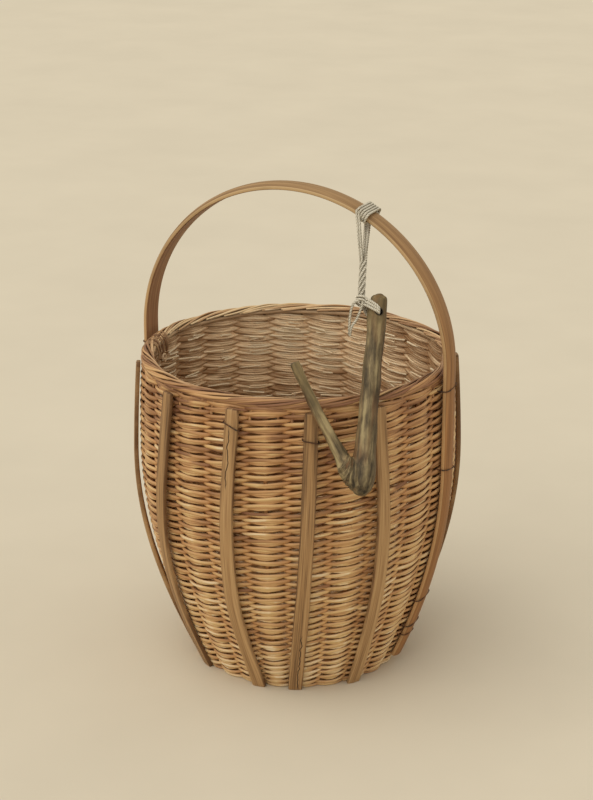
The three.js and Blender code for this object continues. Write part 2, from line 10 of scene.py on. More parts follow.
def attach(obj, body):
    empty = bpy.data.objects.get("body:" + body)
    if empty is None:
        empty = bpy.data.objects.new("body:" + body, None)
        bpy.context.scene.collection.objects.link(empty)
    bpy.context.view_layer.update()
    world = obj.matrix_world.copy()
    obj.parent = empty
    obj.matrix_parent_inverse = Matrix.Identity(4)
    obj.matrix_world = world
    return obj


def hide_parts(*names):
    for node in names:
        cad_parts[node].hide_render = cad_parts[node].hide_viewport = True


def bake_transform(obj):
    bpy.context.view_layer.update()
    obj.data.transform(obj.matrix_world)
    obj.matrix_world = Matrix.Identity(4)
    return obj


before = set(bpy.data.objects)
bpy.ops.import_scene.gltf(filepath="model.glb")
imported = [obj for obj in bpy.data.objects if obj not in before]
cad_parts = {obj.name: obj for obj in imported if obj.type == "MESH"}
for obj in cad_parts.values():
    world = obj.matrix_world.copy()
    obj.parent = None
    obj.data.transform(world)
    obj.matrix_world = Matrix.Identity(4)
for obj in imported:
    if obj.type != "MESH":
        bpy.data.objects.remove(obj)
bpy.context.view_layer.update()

bl_info = {
    "name": "Apple Basket",
    "version": (1, 0, 0),
    "blender": (4, 5, 0),
    "location": "View3D > Sidebar > Basket",
    "description": "Weaves, dresses and stages an apple picking basket with a branch hook",
    "category": "Object",
}

MM = 0.001
UP = np.array((0.0, 0.0, 1.0))

# Wall of the basket, as in the part
BASE_RADIUS = 105 * MM
BELLY_RADIUS = 161 * MM
BELLY_HEIGHT = 225 * MM
MOUTH_INSET = 4 * MM
MOUTH_HEIGHT = 328 * MM
FLARE_POWER = 1.9
SHOULDER_POWER = 2.2
WALL_THICKNESS = 12 * MM
WALL_WAIST = 5.6 * MM
WALL_TOP = 316.7 * MM
BAND_TOPS = {"foot": 0.23 * WALL_TOP, "belly": 0.62 * WALL_TOP, "top": WALL_TOP}
STAKE_COUNT = 24
STAKE_STEP = 2 * math.pi / STAKE_COUNT
STAKE_RADIUS = 2.5 * MM

# Weave: steps round a turn, sides of a rod, and how three rods lie together inside, crossing and outside
ROW_STEPS = 144
ROD_SIDES = 7
PASSING = (-1, 0, 1)
ROD_SPREAD = (0.66, 0.22, 0.5)
ROD_HEIGHT = (0.34, 0.5, 0.39)
# Middle and spread of the tone of a rod, and the painted light that its height adds to it: paler low on the
# wall, darker at the top
ROD_TONE = (0.45, 0.13)
PAINTED_LIGHT_BY_HEIGHT = ((0.02, 0.18, 0.24, 0.3), (0.24, 0.03, 0.0, -0.2))

# Side of the basket where painted light falls on the inside of the wall and on the border
PAINTED_LIGHT_SIDE = math.radians(116)

# Border and base
BORDER_RADIUS = 151 * MM
BORDER_HEIGHT = 322.5 * MM
BORDER_STEPS = 96
FOLD_COUNT = 9
FOLD_START = math.pi + math.radians(6)
FOLD_STEP = math.radians(1.8)
CURL_PLACE = math.pi + math.radians(13)
BASE_STEPS = 144
BASE_ROWS = np.arange(19, 93, 4.0) * MM
BASE_MIDDLE = 5 * MM
STICK_RADIUS = 3.5 * MM
STICK_PITCH = 7.3 * MM
STICK_SHOULDER = 14 * MM
STICK_REACH = 89.5 * MM
STICK_FAN = math.radians(30)

# Cage and handle
CAGE_PLACES = 12
STAVE_WIDTH = 14 * MM
STAVE_THICKNESS = 4.5 * MM
STAVE_TOP = 316.2 * MM
STAVE_BOW = 2.6 * MM
STRIP_REST = 0.5 * MM
HANDLE_WIDTH = 24 * MM
HANDLE_THICKNESS = 6.5 * MM
HANDLE_EDGE = 3.5 * MM
HANDLE_FOOT = 12 * MM
HANDLE_STANDOFF = 4.7 * MM
HANDLE_SHIFT = -4 * MM
HANDLE_SPAN = 168.95 * MM
SPRING_HEIGHT = 329.5 * MM
ARCH_RISE = 164.5 * MM

# Lean of a stave round the wall in millimetres: at its foot, a third and two thirds up, and its top
STAVE_LEANS = {
    1: (0, 1, 3, 5),
    2: (3, 1, -1, -3),
    3: (-2, 0, 2, 3),
    4: (0, 2, 1, -2),
    5: (2, 0, -2, -4),
    7: (0, 0, 0, 0),
    8: (-6.5, -5, 6.5, 16),
    9: (10, 2.5, 5.5, 11),
    10: (-10, -5.5, -1, 2.5),
    11: (-4.5, -8, -11, -15),
}

# Checks in the strips: place across, then where they start and end along the strip
NO_CHECK = (9.0, 0.0, 0.0)
HANDLE_CHECK = (-0.006, 0.02, 0.1)
STAVE_CHECKS = {
    2: (0.002, 0.18, 0.28),
    4: (-0.001, 0.0, 0.07),
    8: (-0.003, 0.0, 0.06),
    9: (0.001, 0.245, 0.31),
    10: (-0.002, 0.0, 0.085),
}
STAVE_SEED = 11

# Wire ties: place on the cage, share of the height of the wall and slant in degrees
TIE_RADIUS = 0.6 * MM
TIES = [
    (0, 0.983, 6),
    (0, 0.716, -8),
    (0, 0.263, 9),
    (0, 0.162, 5),
    (0, 0.123, -5),
    (6, 0.983, 5),
    (9, 0.947, -24),
    (10, 0.912, -12),
]

# Hook: its plane leans on the border; aside runs along the rim, up the slope and out of the basket
HOOK_PLACE = math.radians(-50)
HOOK_LEAN = math.radians(36)
HOOK_OFFSET = 14.2 * MM
HOOK_OUT = np.array((math.cos(HOOK_PLACE), math.sin(HOOK_PLACE), 0.0))
HOOK_ASIDE = np.array((-math.sin(HOOK_PLACE), math.cos(HOOK_PLACE), 0.0))
HOOK_NORMAL = HOOK_OUT * math.cos(HOOK_LEAN) + UP * math.sin(HOOK_LEAN)
HOOK_UP = np.cross(HOOK_NORMAL, HOOK_ASIDE)
HOOK_ORIGIN = HOOK_OUT * BORDER_RADIUS + UP * BORDER_HEIGHT + HOOK_NORMAL * HOOK_OFFSET
LIMB_FOOT = (6.4 * MM, -93.9 * MM)
LIMB_TOP = (53.6 * MM, 99.5 * MM)
LIMB_RADIUS = 9.5 * MM
PRONG_ROOT = (4.5 * MM, -86.0 * MM)
PRONG_TIP = (-37.7 * MM, 37.2 * MM)
PRONG_RADIUS = 5.2 * MM
FORK_FOOT = (4.9 * MM, -86.0 * MM)
FORK_TOP = (2.5 * MM, -64.0 * MM)
HOLE = (48.3 * MM, 78.1 * MM)
HOLE_RADIUS = 3.2 * MM
CARVING_STEP = 1.0 * MM

# Radius of the branches in millimetres, by the share of their length
LIMB_SHAPE = (
    (0, 4.5), (0.012, 8.0), (0.035, 10.6), (0.08, 11.6), (0.14, 11.2), (0.2, 10.2), (0.28, 9.6),
    (0.4, 9.3), (0.6, 9.1), (0.75, 8.9), (0.87, 9.4), (0.95, 9.3), (1, 8.6),
)
PRONG_SHAPE = (
    (0, 5.0), (0.03, 7.8), (0.08, 9.2), (0.13, 9.2), (0.18, 8.6), (0.25, 7.2), (0.36, 6.0),
    (0.55, 5.4), (0.75, 5.1), (1, 4.8),
)
FORK_SHAPE = ((0, 8.0), (0.3, 10.0), (0.7, 9.5), (1, 6.5))

# Cord: the bar that it is wound on, the free stretch and the knot
CORD_RADIUS = 1.6 * MM
CORD_PLACE = math.radians(62.9)
CORD_PITCH = 2.8 * MM
FIRST_TURN = 0.5 * CORD_PITCH
PLY_SHARE = 0.44
# Painted shade round a ply, by its sides: dark in the grooves between the plies
PLY_PAINTED_SHADE = np.array([[0.0, 0.4, 1.0, 1.0, 1.0, 0.4]])
SPLIT_RUN = 42 * MM
BUNDLE_RUN = 54 * MM
BUNDLE_RADIUS = 2.5 * MM
BUNDLE_PITCH = 38 * MM
KNOT = (34.9 * MM, 93.2 * MM)

# Span down from the bar, from the basket towards the sling, for the fanned cord
BAR_BEND = (0.0, 12 * MM)

# Tints of painted shade over hidden places and grooves, and of what is split, worn or rusty
WALL_PAINTED_SHADE = (0.97, 0.89, 0.8)
BORDER_PAINTED_SHADE = (0.6, 0.52, 0.42)
CORD_PAINTED_SHADE = (0.6, 0.57, 0.5)
CHECK_BROWN = (0.16, 0.09, 0.05)
BARE_WOOD = (0.6, 0.51, 0.32)
BRANCH_SHADOW = (0.3, 0.24, 0.16)
RUST = (0.42, 0.26, 0.15)

# Floor and light
FLOOR_RADIUS = 14
KEY_FROM = (-0.4, -0.65, 1.05)
KEY_SOFTNESS = math.radians(75)
KEY_COLOUR = (1.0, 0.97, 0.92)
SKY_COLOUR = (1.0, 0.98, 0.94, 1.0)

# Camera at the place the picture was taken from
CAMERA_EYE = (0.8, -1.6085, 0.9214)
CAMERA_TARGET = (-0.00162, -0.00081, 0.27147)
CAMERA_LENS = 84.66
SCREEN_RIGHT = np.array((0.895, 0.446, 0.0))
SCREEN_NEAR = np.array((0.419, -0.842, 0.34))


def length(name, description, default):
    return FloatProperty(name=name, description=description, default=default, unit="LENGTH")


def colour(name, description, red, green, blue):
    shade = (red / 255, green / 255, blue / 255)
    return FloatVectorProperty(
        name=name, description=description, default=shade, subtype="COLOR_GAMMA", min=0, max=1
    )


class WeaveSettings(bpy.types.PropertyGroup):
    """Rods of the side, the base and the border."""

    row_pitch: length("Row pitch", "Height of one row of the weave", 3.8 * MM)
    rod_depth: length("Rod depth", "Thickness of a rod through the wall", 2.8 * MM)
    rod_swing: length("Rod swing", "How far the rods swing in and out of the stakes", 4.2 * MM)
    border_rod: length("Border rod", "Thickness of a rod of the border", 3.0 * MM)
    cut_ends: IntProperty(name="Cut ends", description="Rod ends left inside the wall", default=700)
    seed: IntProperty(name="Seed", description="Start of the random choices", default=7)
    dark: colour("Dark", "Darkest rods", 134, 92, 62)
    middle: colour("Middle", "Most rods", 192, 146, 96)
    light: colour("Light", "Palest rods", 214, 180, 124)
    inside_dark: colour("Inside dark", "Darkest rods seen from inside", 162, 124, 84)
    inside_light: colour("Inside light", "Palest rods seen from inside", 244, 215, 172)
    cut: colour("Cut", "Cut face of a rod", 232, 212, 176)


class SplintSettings(bpy.types.PropertyGroup):
    """Bent strips of the cage and the handle."""

    edge_round: length("Edge round", "Rounding along the edges of a strip", 1.1 * MM)
    dark: colour("Dark", "Dark streaks", 88, 62, 38)
    middle: colour("Middle", "Face of the strips", 164, 126, 82)
    light: colour("Light", "Worn and pale streaks", 194, 158, 110)
    # Sides of the staves drawn darker than their face, as painted shade
    sides: colour("Sides", "Split sides of the staves", 116, 84, 52)
    handle: colour("Handle", "Face of the handle", 148, 115, 75)
    # Edge colour: paler scraped wood along the edges of the handle, and a painted highlight there
    edge: colour("Edge", "Scraped edges of the handle", 188, 157, 112)
    back: colour("Back", "Inside of the handle", 148, 104, 68)
    leg_tint: colour("Leg tint", "Redder wood down the legs of the handle", 252, 224, 198)


class HookSettings(bpy.types.PropertyGroup):
    """Forked branch that hangs the basket."""

    knobs: length("Knobs", "Height of the lumps along the branch", 1.5 * MM)
    dark: colour("Dark", "Dark streaks", 58, 48, 30)
    middle: colour("Middle", "Olive grey of the old wood", 106, 90, 61)
    light: colour("Light", "Rubbed places", 158, 140, 99)
    brown: colour("Brown", "Brown streaks", 118, 80, 46)


class CordSettings(bpy.types.PropertyGroup):
    """Laid cord between the handle and the hook."""

    ply_pitch: length("Ply pitch", "Length of one turn of the plies", 9 * MM)
    light: colour("Light", "Face of the cord", 238, 230, 210)
    dark: colour("Dark", "Grey in its grooves", 156, 147, 124)
    wire: colour("Wire", "Iron wire of the ties", 60, 48, 38)


class StageSettings(bpy.types.PropertyGroup):
    """Floor, light and camera."""

    floor: colour("Floor", "Floor and background", 211, 200, 177)
    key: FloatProperty(name="Key light", description="Strength of the key light", default=1.25)
    fill: FloatProperty(name="Sky light", description="Strength of the light all round", default=0.75)


class BasketSettings(bpy.types.PropertyGroup):
    """Sizes and colours of the whole basket."""

    weave: PointerProperty(type=WeaveSettings)
    splint: PointerProperty(type=SplintSettings)
    hook: PointerProperty(type=HookSettings)
    cord: PointerProperty(type=CordSettings)
    stage: PointerProperty(type=StageSettings)


def unit(vectors):
    vectors = np.asarray(vectors, float)
    return vectors / np.linalg.norm(vectors, axis=-1, keepdims=True)


def smoothstep(low, high, value):
    share = np.clip((value - low) / (high - low), 0, 1)
    return share * share * (3 - 2 * share)


def runs(path):
    """Length along a path, at each of its points."""
    gaps = np.linalg.norm(np.diff(path, axis=0), axis=1)
    return np.concatenate([[0.0], np.cumsum(gaps)])


def smooth(points, step):
    """Even points on the smooth curve through the given ones."""
    points = np.asarray(points, float)
    knots = np.vstack([2 * points[0] - points[1], points, 2 * points[-1] - points[-2]])
    fine = []
    for a, b, c, d in zip(knots, knots[1:], knots[2:], knots[3:]):
        t = np.linspace(0, 1, 24, endpoint=False)[:, None]
        bend = (2 * a - 5 * b + 4 * c - d) * t**2 + (3 * b - a - 3 * c + d) * t**3
        fine.append(b + 0.5 * ((c - a) * t + bend))
    return even(np.vstack(fine + [points[-1:]]), step)


def even(path, step):
    """The same path with points a step apart."""
    at = runs(path)
    marks = np.linspace(0, at[-1], max(2, round(at[-1] / step) + 1))
    return np.stack([np.interp(marks, at, path[:, k]) for k in range(3)], axis=1)


def steady_normals(path):
    """Normals that turn no more than the path does."""
    tangents = unit(np.gradient(path, axis=0))
    side = np.cross(tangents[0], UP if abs(tangents[0][2]) < 0.9 else (1.0, 0.0, 0.0))
    normals = []
    for tangent in tangents:
        side = side - np.dot(side, tangent) * tangent
        side = side / np.linalg.norm(side)
        normals.append(side)
    return tangents, np.array(normals)


def add_object(name, data):
    obj = bpy.data.objects.new(name, data)
    bpy.context.scene.collection.objects.link(obj)
    return obj


def points_of(obj, field="co"):
    """Places of the points of a piece, or their normals."""
    return np.array([getattr(vertex, field) for vertex in obj.data.vertices])


def put(mesh, name, values, kind="FLOAT", field="value"):
    """Keeps a value for each point of a mesh, for its material to read."""
    layer = mesh.attributes.new(name, kind, "POINT")
    layer.data.foreach_set(field, np.asarray(values, np.float32).ravel())


class Rods:
    """Swept rods gathered in one mesh, with a UV map in metres and tones on the points."""

    def __init__(self):
        self.points = []
        self.faces = []
        self.uvs = []
        self.tones = {"tone": [], "inner": [], "shade": []}
        self.count = 0

    def add(self, path, wide, high, out=None, sides=8, closed=False, cut=None, **tones):
        """One rod; wide lies along out, and cut is the tone of its end faces."""
        path = np.asarray(path, float)
        if closed:
            tangents = unit(np.roll(path, -1, axis=0) - np.roll(path, 1, axis=0))
        else:
            tangents = unit(np.gradient(path, axis=0))
        out = steady_normals(path)[1] if out is None else np.asarray(out, float)
        out = unit(out - np.sum(out * tangents, axis=1, keepdims=True) * tangents)
        up = np.cross(tangents, out)
        turn = np.arange(sides) * 2 * math.pi / sides
        wide = np.broadcast_to(wide, len(path))[:, None, None]
        high = np.broadcast_to(high, len(path))[:, None, None]
        rings = path[:, None] + wide * np.cos(turn)[:, None] * out[:, None]
        rings = rings + high * np.sin(turn)[:, None] * up[:, None]
        self.skin(path, rings, closed, float(wide.mean() + high.mean()))
        self.paint(rings.shape[:2], tones)
        if cut is not None:
            for ring, order in ((rings[0], -1), (rings[-1], 1)):
                self.cap(ring, order, cut, tones)

    def skin(self, path, rings, closed, girth):
        count, sides = rings.shape[:2]
        index = self.count + np.arange(count * sides).reshape(count, sides)
        index = np.hstack([index, index[:, :1]])
        if closed:
            index = np.vstack([index, index[:1]])
            path = np.vstack([path, path[:1]])
        quads = np.stack([index[:-1, :-1], index[:-1, 1:], index[1:, 1:], index[1:, :-1]], axis=-1)
        u, v = np.meshgrid(runs(path), np.arange(sides + 1) * math.pi * girth / sides, indexing="ij")
        uv = np.stack([u, v], axis=-1)
        corners = np.stack([uv[:-1, :-1], uv[:-1, 1:], uv[1:, 1:], uv[1:, :-1]], axis=2)
        self.points.append(rings.reshape(-1, 3))
        self.faces.extend(quads.reshape(-1, 4).tolist())
        self.uvs.append(corners.reshape(-1, 2))
        self.count += count * sides

    def cap(self, ring, order, cut, tones):
        sides = len(ring)
        face = (self.count + np.arange(sides))[::order]
        self.points.append(ring)
        self.faces.append(face.tolist())
        self.uvs.append(np.zeros((sides, 2)))
        self.count += sides
        flat = {name: np.mean(value) for name, value in tones.items()}
        self.paint((1, sides), {**flat, "tone": cut})

    def paint(self, shape, tones):
        for name, values in self.tones.items():
            tone = np.asarray(tones.get(name, 0.0), float)
            tone = tone[:, None] if tone.ndim == 1 else tone
            values.append(np.broadcast_to(tone, shape).ravel())

    def piece(self, name):
        mesh = bpy.data.meshes.new(name)
        mesh.from_pydata(np.vstack(self.points).tolist(), [], self.faces)
        mesh.uv_layers.new(name="rod").data.foreach_set("uv", np.vstack(self.uvs).ravel())
        for layer, values in self.tones.items():
            put(mesh, layer, np.concatenate(values))
        mesh.shade_smooth()
        return add_object(name, mesh)


def deselect():
    bpy.ops.object.select_all(action="DESELECT")


def pick(obj):
    deselect()
    obj.select_set(True)
    bpy.context.view_layer.objects.active = obj


def modify(obj, kind, **values):
    """Adds a modifier and applies it."""
    modifier = obj.modifiers.new(kind.title(), kind)
    for name, value in values.items():
        setattr(modifier, name, value)
    pick(obj)
    bpy.ops.object.modifier_apply(modifier=modifier.name)


def settle(obj, body, slot, materials, *nodes):
    """Gives a finished piece its materials and its body, and hides the nodes that it stands for; slot is not
    used.
    """
    for k, material in enumerate(materials):
        if k < len(obj.data.materials):
            obj.data.materials[k] = material
        else:
            obj.data.materials.append(material)
    if nodes:
        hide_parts(*nodes)
    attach(obj, body)
    return obj

# Materials


def linear(shade):
    """Scene colour of a display colour."""
    return tuple(c / 12.92 if c <= 0.04045 else ((c + 0.055) / 1.055) ** 2.4 for c in shade) + (1.0,)


class Wiring:
    """A node tree under construction."""

    def __init__(self, tree):
        self.tree = tree
        tree.nodes.clear()

    def node(self, kind, inputs=(), **settings):
        node = self.tree.nodes.new("ShaderNode" + kind)
        for name, value in settings.items():
            setattr(node, name, value)
        for socket, value in dict(inputs).items():
            if isinstance(value, bpy.types.NodeSocket):
                self.tree.links.new(value, node.inputs[socket])
            else:
                node.inputs[socket].default_value = value
        return node

    def attribute(self, name, output="Fac"):
        return self.node("Attribute", attribute_name=name).outputs[output]

    def streaks(self, source, scale, detail=4.0, roughness=0.6):
        """Noise from 0 to 1, drawn out by a scale for each axis."""
        mapping = self.node("Mapping", {"Vector": source, "Scale": scale})
        values = {"Vector": mapping.outputs[0], "Scale": 1.0, "Detail": detail, "Roughness": roughness}
        return self.node("TexNoise", values).outputs["Fac"]

    def math(self, operation, first, second=0.0, third=0.0):
        values = {0: first, 1: second, 2: third}
        return self.node("Math", values, operation=operation).outputs[0]

    def vary(self, base, noise_value, size):
        """A value with noise about its middle added to it."""
        return self.math("MULTIPLY_ADD", self.math("SUBTRACT", noise_value, 0.5), size, base)

    def level(self, value, low, high, start=0.0, end=1.0):
        values = {"Value": value, "From Min": low, "From Max": high, "To Min": start, "To Max": end}
        return self.node("MapRange", values).outputs[0]

    def ramp(self, factor, stops):
        node = self.node("ValToRGB", {"Fac": factor})
        node.color_ramp.elements.remove(node.color_ramp.elements[1])
        for at, shade in stops[1:]:
            node.color_ramp.elements.new(at).color = linear(shade)
        node.color_ramp.elements[0].position = stops[0][0]
        node.color_ramp.elements[0].color = linear(stops[0][1])
        return node.outputs["Color"]

    def mix(self, factor, first, second, blend="MIX"):
        values = {0: factor, 6: first, 7: second}
        node = self.node("Mix", values, data_type="RGBA", blend_type=blend)
        return node.outputs[2]

    def paint_shade(self, body, tint):
        """A colour with painted shade: a tint over the hidden places of a piece, by its shade attribute."""
        return self.mix(self.attribute("shade"), body, linear(tint), "MULTIPLY")

    def bump(self, height, distance, strength=1.0):
        values = {"Height": height, "Distance": distance, "Strength": strength}
        return self.node("Bump", values).outputs["Normal"]


class Finish(Wiring):
    """A material under construction."""

    def __init__(self, name):
        self.material = bpy.data.materials.new(name)
        self.material.use_nodes = True
        super().__init__(self.material.node_tree)

    def surface(self, **sockets):
        shader = self.node("BsdfPrincipled", {name.replace("_", " "): v for name, v in sockets.items()})
        output = self.node("OutputMaterial", {"Surface": shader.outputs[0]})
        output.is_active_output = True
        return self.material


def willow_finish(name, tones, painted_groove_shade=WALL_PAINTED_SHADE):
    """Peeled and brown willow rods; the last argument is the tint of the painted shade where they lie against
    each other.
    """
    finish = Finish(name)
    uv = finish.node("UVMap", uv_map="rod").outputs[0]
    fibres = finish.streaks(uv, (45, 1500, 1))
    blotches = finish.streaks(uv, (24, 120, 1), detail=2.0)
    tone = finish.vary(finish.attribute("tone"), blotches, 0.6)
    fine = finish.math("MULTIPLY_ADD", finish.attribute("inner"), 0.7, 0.35)
    tone = finish.vary(tone, fibres, fine)
    outer = [(0.0, tones.dark), (0.45, tones.middle), (0.85, tones.light), (1.0, tones.cut)]
    inner = [(0.1, tones.inside_dark), (0.8, tones.inside_light), (1.0, tones.cut)]
    body = finish.mix(finish.attribute("inner"), finish.ramp(tone, outer), finish.ramp(tone, inner))
    body = finish.paint_shade(body, painted_groove_shade)
    normal = finish.bump(fibres, 0.3 * MM, 0.6)
    return finish.surface(Base_Color=body, Roughness=0.58, Specular_IOR_Level=0.4, Normal=normal)


def splint_finish(name, tones, face, figure, legs=0.0):
    """Split wood with its grain along the strip and checks where the piece says so; legs reddens its feet."""
    finish = Finish(name)
    uv = finish.node("UVMap", uv_map="UVMap").outputs[0]
    grain = finish.streaks(uv, (900, 14, 1), detail=6.0)
    broad = finish.streaks(uv, (230, 5, 1), detail=3.0)
    tone = finish.math("MULTIPLY_ADD", grain, 0.6, finish.math("MULTIPLY", broad, 0.75))
    tone = finish.math("MULTIPLY_ADD", tone, figure, 0.67 * (1 - figure))
    tone = finish.math("ADD", tone, finish.attribute("tone"))
    body = finish.ramp(tone, [(0.48, tones.dark), (0.66, face), (0.86, tones.light)])
    place = finish.node("SeparateXYZ", {0: finish.node("TexCoord").outputs["Object"]})
    low = finish.level(place.outputs[2], 0.28, 0.5, legs, 0.0)
    body = finish.mix(low, body, linear(tones.leg_tint), "MULTIPLY")
    across = finish.node("SeparateXYZ", {0: uv})
    line = finish.vary(across.outputs[0], finish.streaks(uv, (1, 60, 1), detail=2.0), -0.007)
    line = finish.math("ABSOLUTE", finish.math("SUBTRACT", line, finish.attribute("check_across")))
    from_start = finish.math("SUBTRACT", across.outputs[1], finish.attribute("check_start"))
    to_end = finish.math("SUBTRACT", finish.attribute("check_end"), across.outputs[1])
    inside = finish.level(finish.math("MINIMUM", from_start, to_end), 0.0, 0.006)
    check = finish.math("MULTIPLY", finish.level(line, 0.0002, 0.0007, 1.0, 0.0), inside)
    body = finish.mix(check, body, linear(CHECK_BROWN))
    height = finish.math("SUBTRACT", finish.math("MULTIPLY", grain, 0.35), check)
    normal = finish.bump(height, 0.5 * MM, 0.7 * figure)
    return finish.surface(Base_Color=body, Roughness=0.6, Specular_IOR_Level=0.35, Normal=normal)


def branch_finish(name, tones):
    """Old grey branch wood with long streaks."""
    finish = Finish(name)
    grain = finish.attribute("grain", "Vector")
    streaks = finish.streaks(grain, (14, 230, 230), detail=6.0)
    broad = finish.streaks(grain, (40, 110, 110), detail=4.0)
    brown = finish.streaks(grain, (11, 110, 110), detail=2.0)
    tone = finish.math("MULTIPLY_ADD", streaks, 0.6, finish.math("MULTIPLY", broad, 0.5))
    body = finish.ramp(tone, [(0.44, tones.dark), (0.54, tones.middle), (0.66, tones.light)])
    body = finish.mix(finish.level(brown, 0.5, 0.72, 0.0, 0.7), body, linear(tones.brown))
    body = finish.mix(finish.attribute("bare"), body, linear(BARE_WOOD))
    body = finish.paint_shade(body, BRANCH_SHADOW)
    normal = finish.bump(streaks, 1.6 * MM, 0.9)
    return finish.surface(Base_Color=body, Roughness=0.62, Specular_IOR_Level=0.35, Normal=normal)


def cord_finish(name, tones):
    """Laid fibre with dusty grooves."""
    finish = Finish(name)
    uv = finish.node("UVMap", uv_map="rod").outputs[0]
    fibres = finish.streaks(uv, (160, 2400, 1))
    dust = finish.streaks(uv, (60, 120, 1), detail=2.0)
    tone = finish.math("MULTIPLY_ADD", fibres, 0.7, finish.math("MULTIPLY", dust, 0.5))
    body = finish.ramp(tone, [(0.3, tones.dark), (0.68, tones.light)])
    body = finish.paint_shade(body, CORD_PAINTED_SHADE)
    normal = finish.bump(fibres, 0.25 * MM, 0.8)
    return finish.surface(Base_Color=body, Roughness=0.85, Specular_IOR_Level=0.2, Normal=normal)


def wire_finish(name, tones):
    """Rusty iron wire."""
    finish = Finish(name)
    source = finish.node("TexCoord").outputs["Object"]
    rust = finish.streaks(source, (300, 300, 300))
    body = finish.mix(finish.level(rust, 0.4, 0.65), linear(tones.wire), linear(RUST))
    normal = finish.bump(rust, 0.1 * MM, 0.5)
    return finish.surface(Base_Color=body, Metallic=0.4, Roughness=0.6, Normal=normal)


# Shape of the wall


def wall_radius(z):
    below = np.clip(1 - z / BELLY_HEIGHT, 0, None)
    above = np.clip((z - BELLY_HEIGHT) / (MOUTH_HEIGHT - BELLY_HEIGHT), 0, None)
    flare = (BELLY_RADIUS - BASE_RADIUS) * below**FLARE_POWER
    return BELLY_RADIUS - flare - MOUTH_INSET * above**SHOULDER_POWER


def wall_middle(z):
    return wall_radius(z) - WALL_THICKNESS / 2


def wall_slope(z):
    """Direction up the wall and out of it, in radius and height."""
    step = 0.5 * MM
    wider = wall_middle(z + step) - wall_middle(z - step)
    size = np.hypot(wider, 2 * step)
    climb = np.array((wider / size, 2 * step / size))
    return climb, np.array((climb[1], -climb[0]))


def wall_run():
    """Length up the middle of the wall, and the height at each."""
    z = np.linspace(0, WALL_TOP, 2000)
    return np.concatenate([[0], np.cumsum(np.hypot(np.diff(wall_middle(z)), np.diff(z)))]), z


def round_points(turn, radius, height):
    turn, radius, height = np.broadcast_arrays(turn, radius, height)
    return np.stack([radius * np.cos(turn), radius * np.sin(turn), height], axis=1)


def stake_angle(i):
    return i * STAKE_STEP


# Weave


def rod_tones(rng, turn):
    """Tone along a rod, which changes where one rod ends and the next begins, and at each stake."""
    span = turn[-1] - turn[0]
    tone = np.full(len(turn), rng.gauss(*ROD_TONE))
    for joint in sorted(rng.uniform(turn[0], turn[-1]) for _ in range(round(0.8 * span))):
        tone[turn >= joint] = min(0.85, max(0.15, rng.gauss(*ROD_TONE)))
    passing = np.array([rng.gauss(0, 0.15) for _ in range(int(span / STAKE_STEP) + 1)])
    return tone + passing[((turn - turn[0]) / STAKE_STEP).astype(int)]


def loose_lay(rng, turns, z, wave):
    """How far rods stray up and down from their row, in millimetres."""
    marks = np.linspace(turns[0], turns[-1], 130)
    loose = 0.3 * np.sin(rng.randint(6, 11) * turns + rng.uniform(0, 6)) + rng.uniform(-0.2, 0.2)
    loose = loose + np.interp(turns, marks, [rng.gauss(0, 0.22) for _ in marks])
    stray = 0.5 * np.sin(3 * turns + 40 * z) + 0.4 * np.sin(5 * turns - 60 * z + 1)
    return stray + loose * np.interp(wave, PASSING, (0.35, 0.3, 1.2))


def rod_shade(depth, around):
    """Shade round a rod: dark on its hidden side, and where it crosses through the wall."""
    shown = smoothstep(-0.6, 0.4, np.clip(depth / (1.5 * MM), -1, 1)[:, None] * around)
    clear = np.maximum(np.where(depth < 0, 0.8, 0.65), smoothstep(0, 3.6 * MM, np.abs(depth)))
    return 1 - clear[:, None] * shown


def band_parts(z):
    """Which points of a rod lie in each band of the wall, with one more to join it to the next."""
    bottom = 0.0
    for band, top in BAND_TOPS.items():
        part = np.flatnonzero((z >= bottom) & (z <= top))
        yield band, np.append(part, part[-1] + 1) if part[-1] + 1 < len(z) else part
        bottom = top


